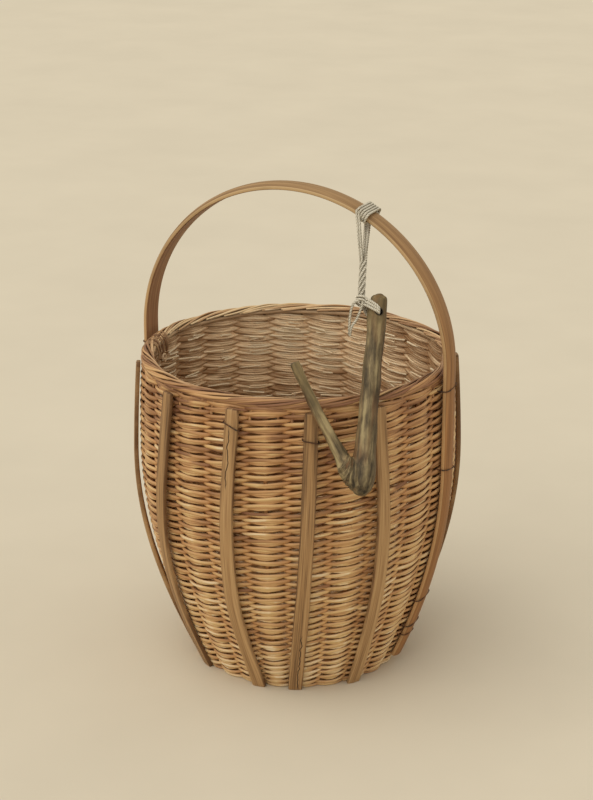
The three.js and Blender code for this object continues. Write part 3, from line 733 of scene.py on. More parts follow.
def climbing_rods(bands, rng, settings, i):
    """Three rods side by side that climb from the base to the border, in and out of the stakes."""
    at, height = wall_run()
    rise = STAKE_COUNT * settings.row_pitch / (2 * math.pi)
    start = stake_angle(i)
    turns = np.arange(start - STAKE_STEP, stake_angle(i + 1) + at[-1] / rise, 2 * math.pi / ROW_STEPS)
    low = 0.4 * settings.row_pitch
    z = np.interp(np.clip(rise * (turns - start), low, at[-1] - low), at, height)
    wave = np.cos(STAKE_COUNT / 2 * turns) * (-1) ** i
    climb, out = wall_slope(z)
    facing = round_points(turns, out[0], out[1])
    stray = loose_lay(rng, turns, z, wave)
    swing = settings.rod_swing * np.sign(wave) * np.abs(wave) ** 0.85
    play = 0.4 * np.clip(wave, 0, 1) * np.sin(rng.randint(8, 15) * turns + rng.uniform(0, 6))
    spread = settings.row_pitch * np.interp(wave, PASSING, ROD_SPREAD) * (1 + play)
    high = settings.row_pitch * np.interp(wave, PASSING, ROD_HEIGHT)
    waist = WALL_WAIST / settings.rod_depth - 1
    apart = np.interp(np.abs(wave), (0, 1), (waist, 0.3)) * settings.rod_depth / 2
    around = np.cos(np.arange(ROD_SIDES) * 2 * math.pi / ROD_SIDES)[None, :]
    # Painted light on the inside of the wall near the top towards that side, and painted shade over the rest
    # of the inside
    painted_inside_light_and_shade = 0.75 * np.clip(np.cos(turns - PAINTED_LIGHT_SIDE), 0, 1) ** 3 * smoothstep(0.2, 0.29, z) - 0.26
    for side in (-1, 0, 1):
        depth = swing + side * apart
        up = stray * MM + side * spread
        swell = 1 + 0.08 * np.sin(turns + rng.uniform(0, 6)) + 0.05 * np.sin(7 * turns + rng.uniform(0, 6))
        away = wall_middle(z) + depth * out[0] + up * climb[0]
        path = round_points(turns, away, np.maximum(z + depth * out[1] + up * climb[1], 1.05 * high * swell))
        shade = rod_shade(depth, around)
        # Painted highlight along the crest of each rod where it swings round a stake, and painted light by
        # height
        tone = rod_tones(rng, turns) + 0.16 * np.abs(wave) ** 3 + np.interp(z, *PAINTED_LIGHT_BY_HEIGHT)
        tone = np.minimum(tone, 0.92)[:, None] + painted_inside_light_and_shade[:, None] * (around < 0)
        for band, part in band_parts(z):
            bands[band].add(
                path[part], settings.rod_depth / 2, (high * swell)[part], out=facing[part], sides=ROD_SIDES,
                cut=0.5, tone=tone[part], inner=around < 0, shade=shade[part],
            )


def cut_end(rods, rng, settings):
    """Butt of a rod that rests against a stake inside the wall."""
    z = rng.uniform(0.05, 0.97) * WALL_TOP
    at = stake_angle(rng.randrange(STAKE_COUNT)) + rng.uniform(-0.04, 0.04)
    way = rng.choice((-1, 1))
    spread = rng.uniform(0.08, 0.17)
    depth = settings.rod_swing + settings.rod_depth / 2
    inset = depth * np.array((0.5, 1.05, 1.25, 1.3 + rng.uniform(0, 0.25)))
    turn = at + way * spread * np.array((-0.7, -0.35, 0.0, 0.3))
    rise = (way + rng.uniform(-2.5, 2.5)) * MM * np.array((0, 0.3, 0.7, 1))
    points = smooth(round_points(turn, wall_middle(z) - inset, z + rise), 2.5 * MM)
    thick = rng.uniform(0.6, 1.1) * MM
    rods.add(points, thick, thick, sides=7, cut=1.4, tone=rng.uniform(0.8, 1.4), inner=1.0)


class BASKET_OT_weave(bpy.types.Operator):
    """Weave the side of the basket in three bands, with rod ends inside"""

    bl_idname = "basket.weave"
    bl_label = "Weave the Side"

    def execute(self, context):
        settings = context.scene.apple_basket.weave
        rng = random.Random(settings.seed)
        willow = willow_finish("willow_side", settings)
        bands = {band: Rods() for band in BAND_TOPS}
        for i in range(STAKE_COUNT):
            climbing_rods(bands, rng, settings, i)
        for band, rods in bands.items():
            settle(rods.piece(f"woven_rows_{band}"), "basket", "willow", [willow], f"side_weave_{band}")
        ends = Rods()
        for _ in range(settings.cut_ends):
            cut_end(ends, rng, settings)
        settle(ends.piece("rod_ends_inside"), "basket", "willow", [willow])
        return {"FINISHED"}


class BASKET_OT_stakes(bpy.types.Operator):
    """Set the upright stakes inside the weave"""

    bl_idname = "basket.stakes"
    bl_label = "Set the Stakes"

    def execute(self, context):
        settings = context.scene.apple_basket.weave
        rng = random.Random(settings.seed + 1)
        willow = willow_finish("willow_stakes", settings)
        z = np.linspace(0.5 * MM, WALL_TOP, 28)
        for i in range(STAKE_COUNT):
            rods = Rods()
            path = round_points(np.full(len(z), stake_angle(i)), wall_middle(z), z)
            girth = STAKE_RADIUS * np.linspace(1.0, 0.85, len(z))
            rods.add(path, 0.8 * girth, girth, sides=10, cut=1.2, tone=rng.uniform(0.2, 0.5), shade=0.9)
            settle(rods.piece(f"willow_stake_{i + 1}"), "basket", "willow_dark", [willow], f"stake_{i + 1}")
        return {"FINISHED"}


# Border


def border_strand(rods, rng, settings, i, aside):
    """A stake bent down over the border: up outside, over the top and down inside."""
    share = np.linspace(0, 1, 40)
    turn = stake_angle(i) + np.radians(5 * aside + rng.uniform(44, 56) * share)
    roll = np.radians(-70 + 270 * smoothstep(-0.2, 1.2, share))
    wander = 0.8 * MM * np.sin(rng.uniform(7, 11) * share + rng.uniform(0, 6))
    radius = BORDER_RADIUS + 5.1 * MM * np.cos(roll) + wander
    height = BORDER_HEIGHT + 3.5 * MM * np.sin(roll) + 0.8 * wander[::-1]
    climb = np.array((WALL_TOP - 12 * MM, WALL_TOP - 5 * MM))
    foot = round_points(turn[0] + np.array((-0.012, -0.008)), wall_middle(0.31) + 1 * MM, climb)
    path = smooth(np.vstack([foot, round_points(turn, radius, height)[1::3]]), 2.5 * MM)
    girth = settings.border_rod / 2 * np.linspace(1.1, 0.72, len(path)) * rng.uniform(0.9, 1.1)
    inner = 0.4 * smoothstep(-3 * MM, 2 * MM, BORDER_RADIUS - np.hypot(path[:, 0], path[:, 1]))
    at = np.arctan2(path[:, 1], path[:, 0])
    spoke = path - round_points(at, BORDER_RADIUS, BORDER_HEIGHT - 2 * MM)
    # Painted shade on the side of each strand turned in to the middle of the plait, in the grooves between
    # strands
    painted_groove_shade = 1 - smoothstep(-0.2, 0.9, np.cos(np.arange(10) * math.pi / 5))[None, :]
    # Painted light on the strands towards the lit side of the border
    tone = rng.uniform(-0.1, 0.6) + 0.55 * max(0, math.cos(stake_angle(i) + 0.4 - PAINTED_LIGHT_SIDE))
    tone = min(tone, 0.85)
    rods.add(path, girth, girth, out=spoke, sides=10, cut=1.0, tone=tone, inner=inner, shade=painted_groove_shade)


def border_core(rods, rng):
    """Rods that run round under the plait and close it."""
    turn = np.arange(BORDER_STEPS) * 2 * math.pi / BORDER_STEPS
    thick = 2.3 * MM
    for aside, up in ((-3.2, -2.6), (3.2, -2.6), (0.0, 0.0)):
        wander = 0.4 * MM * np.sin(rng.randint(5, 9) * turn + rng.uniform(0, 6))
        path = round_points(turn, BORDER_RADIUS + aside * MM + wander, BORDER_HEIGHT + up * MM + wander)
        inner = 0.8 if aside < 0 else 0.0
        tone = rod_tones(rng, turn) - 0.1
        rods.add(path, thick, thick, closed=True, tone=tone, inner=inner, shade=0.4)


def folded_rod(rods, rng, turn):
    """A thin rod folded over the border beside the handle."""
    profile = np.array((
        (-8.4, -13), (-8.6, -7), (-7.4, -1), (-4.8, 3.2), (0.0, 4.6), (4.8, 3.2), (7.4, -1), (7.4, -7),
    )) * MM + (BORDER_RADIUS, BORDER_HEIGHT)
    lean = np.linspace(-1, 1, len(profile)) * rng.uniform(-0.06, 0.03)
    path = smooth(round_points(turn + lean, profile[:, 0], profile[:, 1]), 2 * MM)
    thick = rng.uniform(0.7, 1.0) * MM
    rods.add(path, thick, thick, sides=8, cut=1.0, tone=rng.uniform(0.0, 0.5), inner=0.5, shade=0.6)


def curled_tip(rods, turn):
    """The tip of a rod curled round on the inside of the wall."""
    around = np.linspace(0, 2.1 * math.pi, 26)
    ring = np.linspace(4.6, 3.4, len(around)) * MM
    sideways = ring * np.cos(around) / BORDER_RADIUS
    inward = BORDER_RADIUS - 9 * MM - np.linspace(0, 2.0, len(around)) * MM
    path = round_points(turn + sideways, inward, BORDER_HEIGHT - 17 * MM + ring * np.sin(around))
    rods.add(path, 1.0 * MM, 1.0 * MM, sides=8, cut=1.1, tone=0.5, inner=1.0)


class BASKET_OT_border(bpy.types.Operator):
    """Plait the border along the mouth, with rods folded over beside the handle"""

    bl_idname = "basket.border"
    bl_label = "Plait the Border"

    def execute(self, context):
        settings = context.scene.apple_basket.weave
        rng = random.Random(settings.seed + 2)
        rods = Rods()
        for i in range(STAKE_COUNT):
            for aside in range(3):
                border_strand(rods, rng, settings, i, aside)
        border_core(rods, rng)
        willow = willow_finish("willow_border", settings, BORDER_PAINTED_SHADE)
        settle(rods.piece("plaited_border"), "basket", "willow_dark", [willow], "rim_border")
        folds = Rods()
        for k in range(FOLD_COUNT):
            folded_rod(folds, rng, FOLD_START + k * FOLD_STEP)
        curled_tip(folds, CURL_PLACE)
        settle(folds.piece("folded_rods"), "basket", "willow_dark", [willow])
        return {"FINISHED"}


# Base


def base_ring(rods, rng, row, radius):
    """One round of the base weave, over and under the sticks."""
    turn = np.arange(BASE_STEPS) * 2 * math.pi / BASE_STEPS
    wave = np.cos(6 * turn) * (-1) ** row
    rise = BASE_MIDDLE + 3.4 * MM * wave
    stray = 0.3 * MM * np.sin(rng.randint(4, 9) * turn + rng.uniform(0, 6))
    path = round_points(turn, radius + stray, rise)
    rods.add(
        path, 2.1 * MM, 1.3 * MM, out=round_points(turn, 1.0, 0.0), closed=True,
        tone=rod_tones(rng, turn), inner=smoothstep(-1, 1, wave), shade=0.6 * (1 - np.abs(wave)),
    )


def base_stick(name, quarter, step, high, tone):
    """A split stick of the base, straight through the cross and opened out like a spoke."""
    fan = step * STICK_FAN
    half = np.array((
        (0, step * STICK_PITCH),
        (STICK_SHOULDER, step * STICK_PITCH),
        (STICK_REACH * math.cos(fan), STICK_REACH * math.sin(fan)),
    ))
    flat = np.vstack([half[:0:-1] * (-1, 1), half])
    turned = flat if quarter == 0 else np.stack([-flat[:, 1], flat[:, 0]], axis=1)
    path = even(np.column_stack([turned, np.full(len(turned), BASE_MIDDLE)]), 3 * MM)
    near_end = np.minimum(runs(path), runs(path)[::-1])
    taper = 0.72 + 0.28 * smoothstep(0, 40 * MM, near_end)
    rods = Rods()
    level = np.broadcast_to(UP, path.shape)
    wide = STICK_RADIUS * taper
    rods.add(path, high * taper, wide, out=level, sides=12, cut=1.2, tone=tone, shade=0.2, inner=0.5)
    return rods.piece(name)


class BASKET_OT_base(bpy.types.Operator):
    """Weave the base on its cross of split sticks"""

    bl_idname = "basket.base"
    bl_label = "Weave the Base"

    def execute(self, context):
        settings = context.scene.apple_basket.weave
        rng = random.Random(settings.seed + 3)
        willow = willow_finish("willow_base", settings)
        rods = Rods()
        for row, radius in enumerate(BASE_ROWS):
            base_ring(rods, rng, row, radius)
        settle(rods.piece("woven_base"), "basket", "willow", [willow], "base_weave")
        for i in range(3):
            pierced = base_stick(f"pierced_stick_{i + 1}", 0, i - 1, 3.3 * MM, rng.uniform(0.3, 0.6))
            settle(pierced, "basket", "willow_dark", [willow], f"base_stick_pierced_{i + 1}")
            through = base_stick(f"through_stick_{i + 1}", 1, i - 1, 1.6 * MM, rng.uniform(0.3, 0.6))
            settle(through, "basket", "willow_dark", [willow], f"base_stick_through_{i + 1}")
        return {"FINISHED"}


# Cage and handle


def bent_strip(name, middle, outward, width, thickness, edge, rounding, steps, check, tone=0.0):
    """A strip bent along a line: a crowned grid over the line, given its thickness and rounded."""
    deselect()
    bpy.ops.mesh.primitive_grid_add(x_subdivisions=steps, y_subdivisions=10, size=1, location=(0, 0, 0))
    obj = bpy.context.object
    obj.name = name
    at = runs(middle)
    forward = unit(np.gradient(middle, axis=0))
    side = unit(np.cross(outward, forward))
    layer = obj.data.uv_layers.active
    flat = points_of(obj)
    run = (flat[:, 0] + 0.5) * at[-1]
    across = flat[:, 1] * np.interp(run, at, width)

    def follow(table):
        return np.stack([np.interp(run, at, table[:, k]) for k in range(3)], axis=1)

    rise = edge + (thickness - edge) * (1 - 4 * flat[:, 1] ** 2)
    inside = follow(middle) + unit(follow(side)) * across[:, None] - unit(follow(outward)) * thickness / 2
    outside = inside + unit(follow(outward)) * rise[:, None]
    obj.data.vertices.foreach_set("co", outside.ravel())
    order = np.array([loop.vertex_index for loop in obj.data.loops])
    layer.data.foreach_set("uv", np.stack([across[order], run[order]], axis=1).ravel())
    for _ in ("face", "sides", "back"):
        obj.data.materials.append(None)
    modify(obj, "SOLIDIFY", thickness=edge, offset=-1, material_offset_rim=1, material_offset=2)
    obj.data.vertices.foreach_set("co", np.vstack([outside, inside]).ravel())
    modify(obj, "BEVEL", width=rounding, segments=3, limit_method="ANGLE", angle_limit=math.radians(40))
    facts = {"tone": tone, "check_across": check[0], "check_start": check[1], "check_end": check[2]}
    for key, value in facts.items():
        put(obj.data, key, np.full(len(obj.data.vertices), value))
    pick(obj)
    bpy.ops.object.shade_smooth_by_angle(angle=math.radians(35))
    return obj


def stave_inner(z):
    return wall_radius(z) + STRIP_REST + STAVE_BOW * np.sin(math.pi * z / STAVE_TOP) ** 2


def stave_angle(place, z):
    """Angle of a stave round the wall at a height, with its lean."""
    shares = np.array((0, 1, 2, 3)) / 3
    lean = np.interp(np.asarray(z) / STAVE_TOP, shares, STAVE_LEANS[place])
    return 2 * math.pi * place / CAGE_PLACES + lean * MM / wall_radius(z)


def eased(values):
    """A run of values with its corners rounded off."""
    padded = np.concatenate([np.full(6, values[0]), values, np.full(6, values[-1])])
    return np.convolve(padded, np.full(13, 1 / 13), mode="valid")


class BASKET_OT_staves(bpy.types.Operator):
    """Bend the staves of the cage round the wall"""

    bl_idname = "basket.staves"
    bl_label = "Bend the Staves"

    def execute(self, context):
        settings = context.scene.apple_basket.splint
        rng = random.Random(STAVE_SEED)
        splint = splint_finish("splint_stave", settings, settings.middle, 1.0)
        # The sides of the staves take a darker copy of the finish: painted shade
        sides = splint_finish("splint_stave_shaded_sides", settings, settings.sides, 1.0)
        z = np.linspace(0, STAVE_TOP, 80)
        climb = np.gradient(stave_inner(z), z)
        for place in STAVE_LEANS:
            turn = eased(stave_angle(place, z))
            middle = round_points(turn, stave_inner(z) + STAVE_THICKNESS / 2, z)
            outward = unit(round_points(turn, np.ones(len(z)), -climb))
            waver = 0.025 * np.sin(z * 30 + rng.uniform(0, 6)) + 0.015 * np.sin(z * 90 + rng.uniform(0, 6))
            width = STAVE_WIDTH * (1.02 - 0.1 * (z / STAVE_TOP) ** 3 + waver)
            width = width * (1 - 0.12 * smoothstep(STAVE_TOP - 3 * MM, STAVE_TOP, z))
            stave = bent_strip(
                f"bent_stave_{place}", middle, outward, width, STAVE_THICKNESS, STAVE_THICKNESS - 0.5 * MM,
                settings.edge_round, 70, STAVE_CHECKS.get(place, NO_CHECK), 0.03 * (-1) ** (place + 1),
            )
            settle(stave, "basket", "splint", [splint, sides, splint], f"stave_{place}")
        return {"FINISHED"}


def leg_inner(z, side):
    """Inside of a leg: side is 1 for the leg beside the hook and -1 for the other."""
    standoff = HANDLE_STANDOFF + side * HANDLE_SHIFT - STRIP_REST
    return wall_radius(np.minimum(z, BELLY_HEIGHT)) + STRIP_REST + standoff * smoothstep(0, BELLY_HEIGHT, z)


def handle_rise(share):
    return HANDLE_EDGE + (HANDLE_THICKNESS - HANDLE_EDGE) * (1 - share**2)


def arch_point(turn):
    across = HANDLE_SHIFT + HANDLE_SPAN * math.cos(turn)
    return np.array((across, 0.0, SPRING_HEIGHT + ARCH_RISE * math.sin(turn)))


def handle_line():
    """Middle of the handle, from the foot of one leg over the arch to the other."""
    z = np.linspace(HANDLE_FOOT, BELLY_HEIGHT, 30)
    legs = [np.stack([s * (leg_inner(z, s) + HANDLE_THICKNESS / 2), 0 * z, z], axis=1) for s in (1, -1)]
    arch = np.array([arch_point(turn) for turn in np.linspace(0, math.pi, 80)])
    return even(np.vstack([legs[0], arch, legs[1][::-1]]), 4 * MM)


class BASKET_OT_handle(bpy.types.Operator):
    """Bend the handle over the mouth and down both sides"""

    bl_idname = "basket.handle"
    bl_label = "Bend the Handle"

    def execute(self, context):
        settings = context.scene.apple_basket.splint
        middle = handle_line()
        forward = unit(np.gradient(middle, axis=0))
        outward = np.stack([forward[:, 2], np.zeros(len(middle)), -forward[:, 0]], axis=1)
        at = runs(middle)
        near_end = np.minimum(at, at[-1] - at)
        width = HANDLE_WIDTH * (1 - 0.16 * smoothstep(0.3, 0.0, near_end) + 0.015 * np.sin(at * 23))
        face = splint_finish("splint_handle", settings, settings.handle, 0.55, 1.0)
        # The edges of the handle take a paler copy of the finish: scraped wood and a painted highlight
        edge = splint_finish("splint_handle_edge_highlight", settings, settings.edge, 0.4, 0.5)
        back = splint_finish("splint_handle_back", settings, settings.back, 0.65)
        handle = bent_strip(
            "bent_handle", middle, outward, width, HANDLE_THICKNESS, HANDLE_EDGE, settings.edge_round, 260,
            HANDLE_CHECK,
        )
        settle(handle, "basket", "splint", [face, edge, back], "handle")
        return {"FINISHED"}


# Wire ties


def tie_path(place, share, slant):
    """A wire over the face of a strip, down both its edges and into the wall."""
    on_handle = place % (CAGE_PLACES // 2) == 0
    half = (HANDLE_WIDTH if on_handle else STAVE_WIDTH) / 2
    edge = half + 0.7 * MM
    slope = math.tan(math.radians(slant))

    def point(across, lift, bite=None):
        z = share * WALL_TOP + across * slope
        if bite is not None:
            return (wall_radius(z) - bite, across, z)
        part = min(1.0, abs(across) / half)
        inner = leg_inner(z, -1 if place else 1) + handle_rise(part)
        return ((inner if on_handle else stave_inner(z) + STAVE_THICKNESS) + lift, across, z)

    points = []
    for sign in (-1, 1):
        leg = [
            point(sign * edge, 0, 5 * MM),
            point(sign * edge, 0, -1 * MM),
            point(sign * edge, -1 * MM),
            point(sign * (half - 0.6 * MM), TIE_RADIUS),
            point(sign * half * 0.6, 1.2 * TIE_RADIUS),
        ]
        points.extend(leg if sign < 0 else leg[::-1])
    turn = 2 * math.pi * place / CAGE_PLACES if on_handle else float(stave_angle(place, share * WALL_TOP))
    x, y, z = np.array(points).T
    turned = (x * math.cos(turn) - y * math.sin(turn), x * math.sin(turn) + y * math.cos(turn), z)
    return smooth(np.stack(turned, axis=1), 1 * MM)


class BASKET_OT_ties(bpy.types.Operator):
    """Tie the strips to the wall with wire"""

    bl_idname = "basket.ties"
    bl_label = "Tie the Strips"

    def execute(self, context):
        wire = wire_finish("iron_wire", context.scene.apple_basket.cord)
        for i, tie in enumerate(TIES):
            rods = Rods()
            rods.add(tie_path(*tie), TIE_RADIUS, TIE_RADIUS, sides=8, cut=0.5)
            settle(rods.piece(f"iron_tie_{i + 1}"), "basket", "wire", [wire], f"wire_tie_{i + 1}")
        return {"FINISHED"}


# Hook


def hook_place(aside, up, out=0.0):
    return HOOK_ORIGIN + HOOK_ASIDE * aside + HOOK_UP * up + HOOK_NORMAL * out


def branch_curve(name, points, radii):
    """A round branch of changing thickness, from a curve."""
    data = bpy.data.curves.new(name, "CURVE")
    data.dimensions = "3D"
    data.bevel_depth = 1.0
    data.bevel_resolution = 5
    data.use_fill_caps = True
    spline = data.splines.new("POLY")
    spline.points.add(len(points) - 1)
    for point, place, radius in zip(spline.points, points, radii):
        point.co = (*place, 1.0)
        point.radius = radius
    pick(add_object(name, data))
    bpy.ops.object.convert(target="MESH")
    return bpy.context.object


def branch_between(name, start, end, shape, bow=0.0, steps=40):
    """A branch from start to end in the plane of the hook; shape gives its radius in mm by share."""
    share = np.linspace(0, 1, steps)
    line = np.array(end) - np.array(start)
    across = np.array((-line[1], line[0])) / np.linalg.norm(line)
    flat = np.array(start) + share[:, None] * line + (bow * np.sin(math.pi * share))[:, None] * across
    table = np.array(shape)
    radii = np.interp(share, table[:, 0], table[:, 1] * MM)
    return branch_curve(name, [hook_place(*place) for place in flat], radii)


def grain_table(obj):
    """Place along and across the branch that each point belongs to, for its streaks."""
    places = points_of(obj) - HOOK_ORIGIN
    local = np.stack([places @ HOOK_ASIDE, places @ HOOK_UP, places @ HOOK_NORMAL], axis=1)
    best, grain = None, None
    for start, end, thick in ((LIMB_FOOT, LIMB_TOP, LIMB_RADIUS), (PRONG_ROOT, PRONG_TIP, PRONG_RADIUS)):
        line = unit(np.array(end) - np.array(start))
        along = (local[:, :2] - start) @ line
        across = (local[:, :2] - start) @ np.array((-line[1], line[0]))
        far = np.hypot(across, local[:, 2]) / thick + 9 * np.clip(-along / thick, 0, None)
        own = np.stack([along, across, local[:, 2]], axis=1)
        if best is None:
            best, grain = far, own
        else:
            nearer = smoothstep(-0.9, 0.9, best - far)[:, None]
            grain = grain * (1 - nearer) + (own + (0.4, 0.0, 0.0)) * nearer
    return local, grain


def roughen(obj, knobs):
    """Long ridges and lumps of a weathered branch."""
    grain = grain_table(obj)[1]
    normals, places = points_of(obj, "normal"), points_of(obj)
    for i, (along, across, out) in enumerate(grain):
        ridge = noise.noise(Vector((along * 26, across * 260, out * 260)))
        lump = noise.noise(Vector((along * 45, across * 60, out * 60 + 7)))
        places[i] += normals[i] * (0.55 * ridge + 0.75 * lump) * knobs
    obj.data.vertices.foreach_set("co", places.ravel())
    obj.data.update()


class BASKET_OT_hook(bpy.types.Operator):
    """Carve the forked branch hook, with the hole for its cord"""

    bl_idname = "basket.hook"
    bl_label = "Carve the Hook"

    def execute(self, context):
        settings = context.scene.apple_basket.hook
        limb = branch_between("branch_hook", LIMB_FOOT, LIMB_TOP, LIMB_SHAPE)
        limb.data.remesh_voxel_size = CARVING_STEP
        bpy.ops.object.voxel_remesh()
        for place, facing in self.head_cuts():
            self.trim(limb, place, facing)
        prong = branch_between("prong", PRONG_ROOT, PRONG_TIP, PRONG_SHAPE, bow=1.5 * MM)
        fork = branch_between("fork", FORK_FOOT, FORK_TOP, FORK_SHAPE)
        pick(limb)
        prong.select_set(True)
        fork.select_set(True)
        bpy.ops.object.join()
        hook = bpy.context.object
        bpy.ops.object.voxel_remesh()
        modify(hook, "SMOOTH", factor=0.5, iterations=22)
        roughen(hook, settings.knobs)
        self.drill(hook)
        self.paint(hook)
        pick(hook)
        bpy.ops.object.shade_smooth_by_angle(angle=math.radians(50))
        settle(hook, "hook", "branch", [branch_finish("branch_wood", settings)], "hook")
        return {"FINISHED"}

    def head_cuts(self):
        """Knife cuts that shape the head of the limb: a place in the plane of the hook and a facing."""

        def near_top(aside, up, out=0.0):
            return hook_place(LIMB_TOP[0] + aside * MM, LIMB_TOP[1] + up * MM, out * MM)

        return (
            (near_top(-2, -1), HOOK_UP * 0.97 - HOOK_ASIDE * 0.12 + HOOK_NORMAL * 0.2),
            (near_top(5.5, -6), HOOK_UP * 0.66 + HOOK_ASIDE * 0.75),
            (near_top(0, -6, 7), HOOK_UP * 0.6 + HOOK_NORMAL * 0.8),
            (near_top(-9, -5), HOOK_UP * 0.45 - HOOK_ASIDE * 0.89),
        )

    def trim(self, obj, place, facing):
        pick(obj)
        bpy.ops.object.mode_set(mode="EDIT")
        bpy.ops.mesh.select_all(action="SELECT")
        bpy.ops.mesh.bisect(plane_co=place, plane_no=unit(facing), use_fill=True, clear_outer=True)
        bpy.ops.object.mode_set(mode="OBJECT")

    def drill(self, hook):
        deselect()
        turn = Vector(HOOK_NORMAL).to_track_quat("Z", "Y").to_euler()
        bpy.ops.mesh.primitive_cylinder_add(
            vertices=28, radius=HOLE_RADIUS, depth=0.06, location=hook_place(*HOLE), rotation=turn
        )
        drill = bpy.context.object
        modify(hook, "BOOLEAN", object=drill, operation="DIFFERENCE", solver="EXACT")
        bpy.data.objects.remove(drill)

    def paint(self, hook):
        """Grain along the branch, dark places at the hole, the head and the foot, painted shade down the side
        of the limb that faces right, and bare wood.
        """
        local, grain = grain_table(hook)
        put(hook.data, "grain", grain, "FLOAT_VECTOR", "vector")
        from_hole = np.hypot(local[:, 0] - HOLE[0], local[:, 1] - HOLE[1])
        below_head = LIMB_TOP[1] - local[:, 1]
        above_foot = local[:, 1] - LIMB_FOOT[1]
        dark = 1 - smoothstep(HOLE_RADIUS, HOLE_RADIUS + 2 * MM, from_hole)
        dark = np.maximum(dark, 0.5 * (1 - smoothstep(0, 22 * MM, above_foot)))
        dark = np.maximum(dark, 0.6 * (1 - smoothstep(0, 6 * MM, below_head)))
        normals = points_of(hook, "normal")
        on_limb = local[:, 0] > np.interp(local[:, 1], (LIMB_FOOT[1], LIMB_TOP[1]), (-0.03, 0.03))
        # Painted shade on the side of the limb that faces right, away from the light
        dark = np.maximum(dark, 0.6 * on_limb * smoothstep(0.5, 0.95, normals @ SCREEN_RIGHT))
        put(hook.data, "shade", dark)
        up_prong = np.where(local[:, 0] < 0, smoothstep(PRONG_ROOT[1], PRONG_TIP[1], local[:, 1]), 0)
        bare = 0.35 * up_prong * smoothstep(-0.4, 0.7, normals @ (SCREEN_RIGHT + SCREEN_NEAR))
        bare = np.maximum(bare, 0.3 * (1 - smoothstep(15 * MM, 60 * MM, below_head)))
        put(hook.data, "bare", bare)


# Cord


def bar_frame():
    """Where the cord is wound: place, direction down the bar and out of its face."""
    place = arch_point(CORD_PLACE)
    down = np.array((math.sin(CORD_PLACE) * HANDLE_SPAN, 0.0, -math.cos(CORD_PLACE) * ARCH_RISE))
    out = np.array((ARCH_RISE * math.cos(CORD_PLACE), 0.0, HANDLE_SPAN * math.sin(CORD_PLACE)))
    return place, unit(down), unit(out)


BAR, BAR_DOWN, BAR_OUT = bar_frame()
KNOT_PLACE = hook_place(*KNOT)
SLING_DOWN = unit(KNOT_PLACE - BAR)
SLING_LENGTH = float(np.linalg.norm(KNOT_PLACE - BAR))
KNOT_RUN = SLING_LENGTH - 2 * MM
KNOT_BEND = (SPLIT_RUN + 8 * MM, SLING_LENGTH - 4 * MM)
SLING_BACK = unit(np.array((0.0, 1.0, 0.0)) - SLING_DOWN[1] * SLING_DOWN)
SLING_ASIDE = np.cross(SLING_DOWN, SLING_BACK)


def bar_point(shift, across, rise):
    """A point by its place along the bar, across it and out of its face."""
    return BAR + BAR_DOWN * shift + np.array((0.0, across, 0.0)) + BAR_OUT * rise


def lap_point(shift, roll, side):
    """A point where the cord goes round the front edge (side -1) or the back edge (side 1) of the bar."""
    reach = HANDLE_THICKNESS / 2 + CORD_RADIUS
    half = HANDLE_WIDTH / 2 - 0.8 * MM
    return bar_point(shift, side * (half + reach * math.cos(roll)), reach * math.sin(roll))


def bundle_point(run, place):
    """A strand in the twisted stretch; place counts the strands round it."""
    turn = 2 * math.pi * (place / 5 + (run - BUNDLE_RUN) / BUNDLE_PITCH)
    ring = SLING_BACK * math.cos(turn) + SLING_ASIDE * math.sin(turn)
    return BAR + SLING_DOWN * run + ring * BUNDLE_RADIUS


def hanging_strand(shift, side, place):
    """From the edge of the bar straight down into the twisted stretch."""
    leave = math.radians(20 if side < 0 else -70)
    start = [lap_point(shift, roll, side) for roll in np.linspace(math.pi / 2, leave, 7)]
    twisted = [bundle_point(run, place) for run in np.linspace(BUNDLE_RUN, KNOT_RUN, 14)]
    between = [start[-1] * (1 - share) + twisted[0] * share for share in (0.3, 0.6, 0.85)]
    return start + between + twisted


def cord_strands():
    """Five strands between the bar and the knot: two loops beside the turns, and an end of the winding."""
    strands = []
    for step, first, second in ((-2, 3.5, 4.5), (-1, 2.5, 0.5)):
        shift = FIRST_TURN + step * CORD_PITCH
        middle = bar_point(shift, 0, HANDLE_THICKNESS / 2 + CORD_RADIUS)
        over = hanging_strand(shift, -1, first)[::-1] + [middle]
        strands.append(over + hanging_strand(shift, 1, second))
    wound = [winding_point(turn) for turn in np.linspace(0, 2.8, 72)]
    strands.append(hanging_strand(FIRST_TURN, 1, 1.5)[:0:-1][:-5] + wound)
    return [smooth(strand, 0.8 * MM) for strand in strands]


def winding_point(turn):
    """A point of the turns round the bar, from its back edge over the face; below it they step aside."""
    reach = HANDLE_THICKNESS / 2 + CORD_RADIUS
    half = HANDLE_WIDTH / 2 - 0.8 * MM
    share = turn % 1
    corner = 0.12
    shift = FIRST_TURN + (math.floor(turn) + smoothstep(0.5 + corner, 1 - corner, share)) * CORD_PITCH
    if share < corner or share > 1 - corner:
        roll = math.pi / 2 * (share if share < corner else share - 1) / corner
        return lap_point(shift, roll, 1)
    if share < 0.5 - corner:
        return bar_point(shift, half - 2 * half * (share - corner) / (0.5 - 2 * corner), reach)
    if share < 0.5 + corner:
        return lap_point(shift, -math.pi / 2 * (share - 0.5) / corner, -1)
    return bar_point(shift, -half + 2 * half * (share - 0.5 - corner) / (0.5 - 2 * corner), -reach)


def plies(path, settings):
    """Middle lines of the three plies of a cord."""
    tangents, normals = steady_normals(path)
    across = np.cross(tangents, normals)
    at = runs(path)
    for ply in range(3):
        turn = 2 * math.pi * (ply / 3 + at / settings.ply_pitch)
        out = normals * np.cos(turn)[:, None] + across * np.sin(turn)[:, None]
        yield path + out * PLY_SHARE * CORD_RADIUS, out


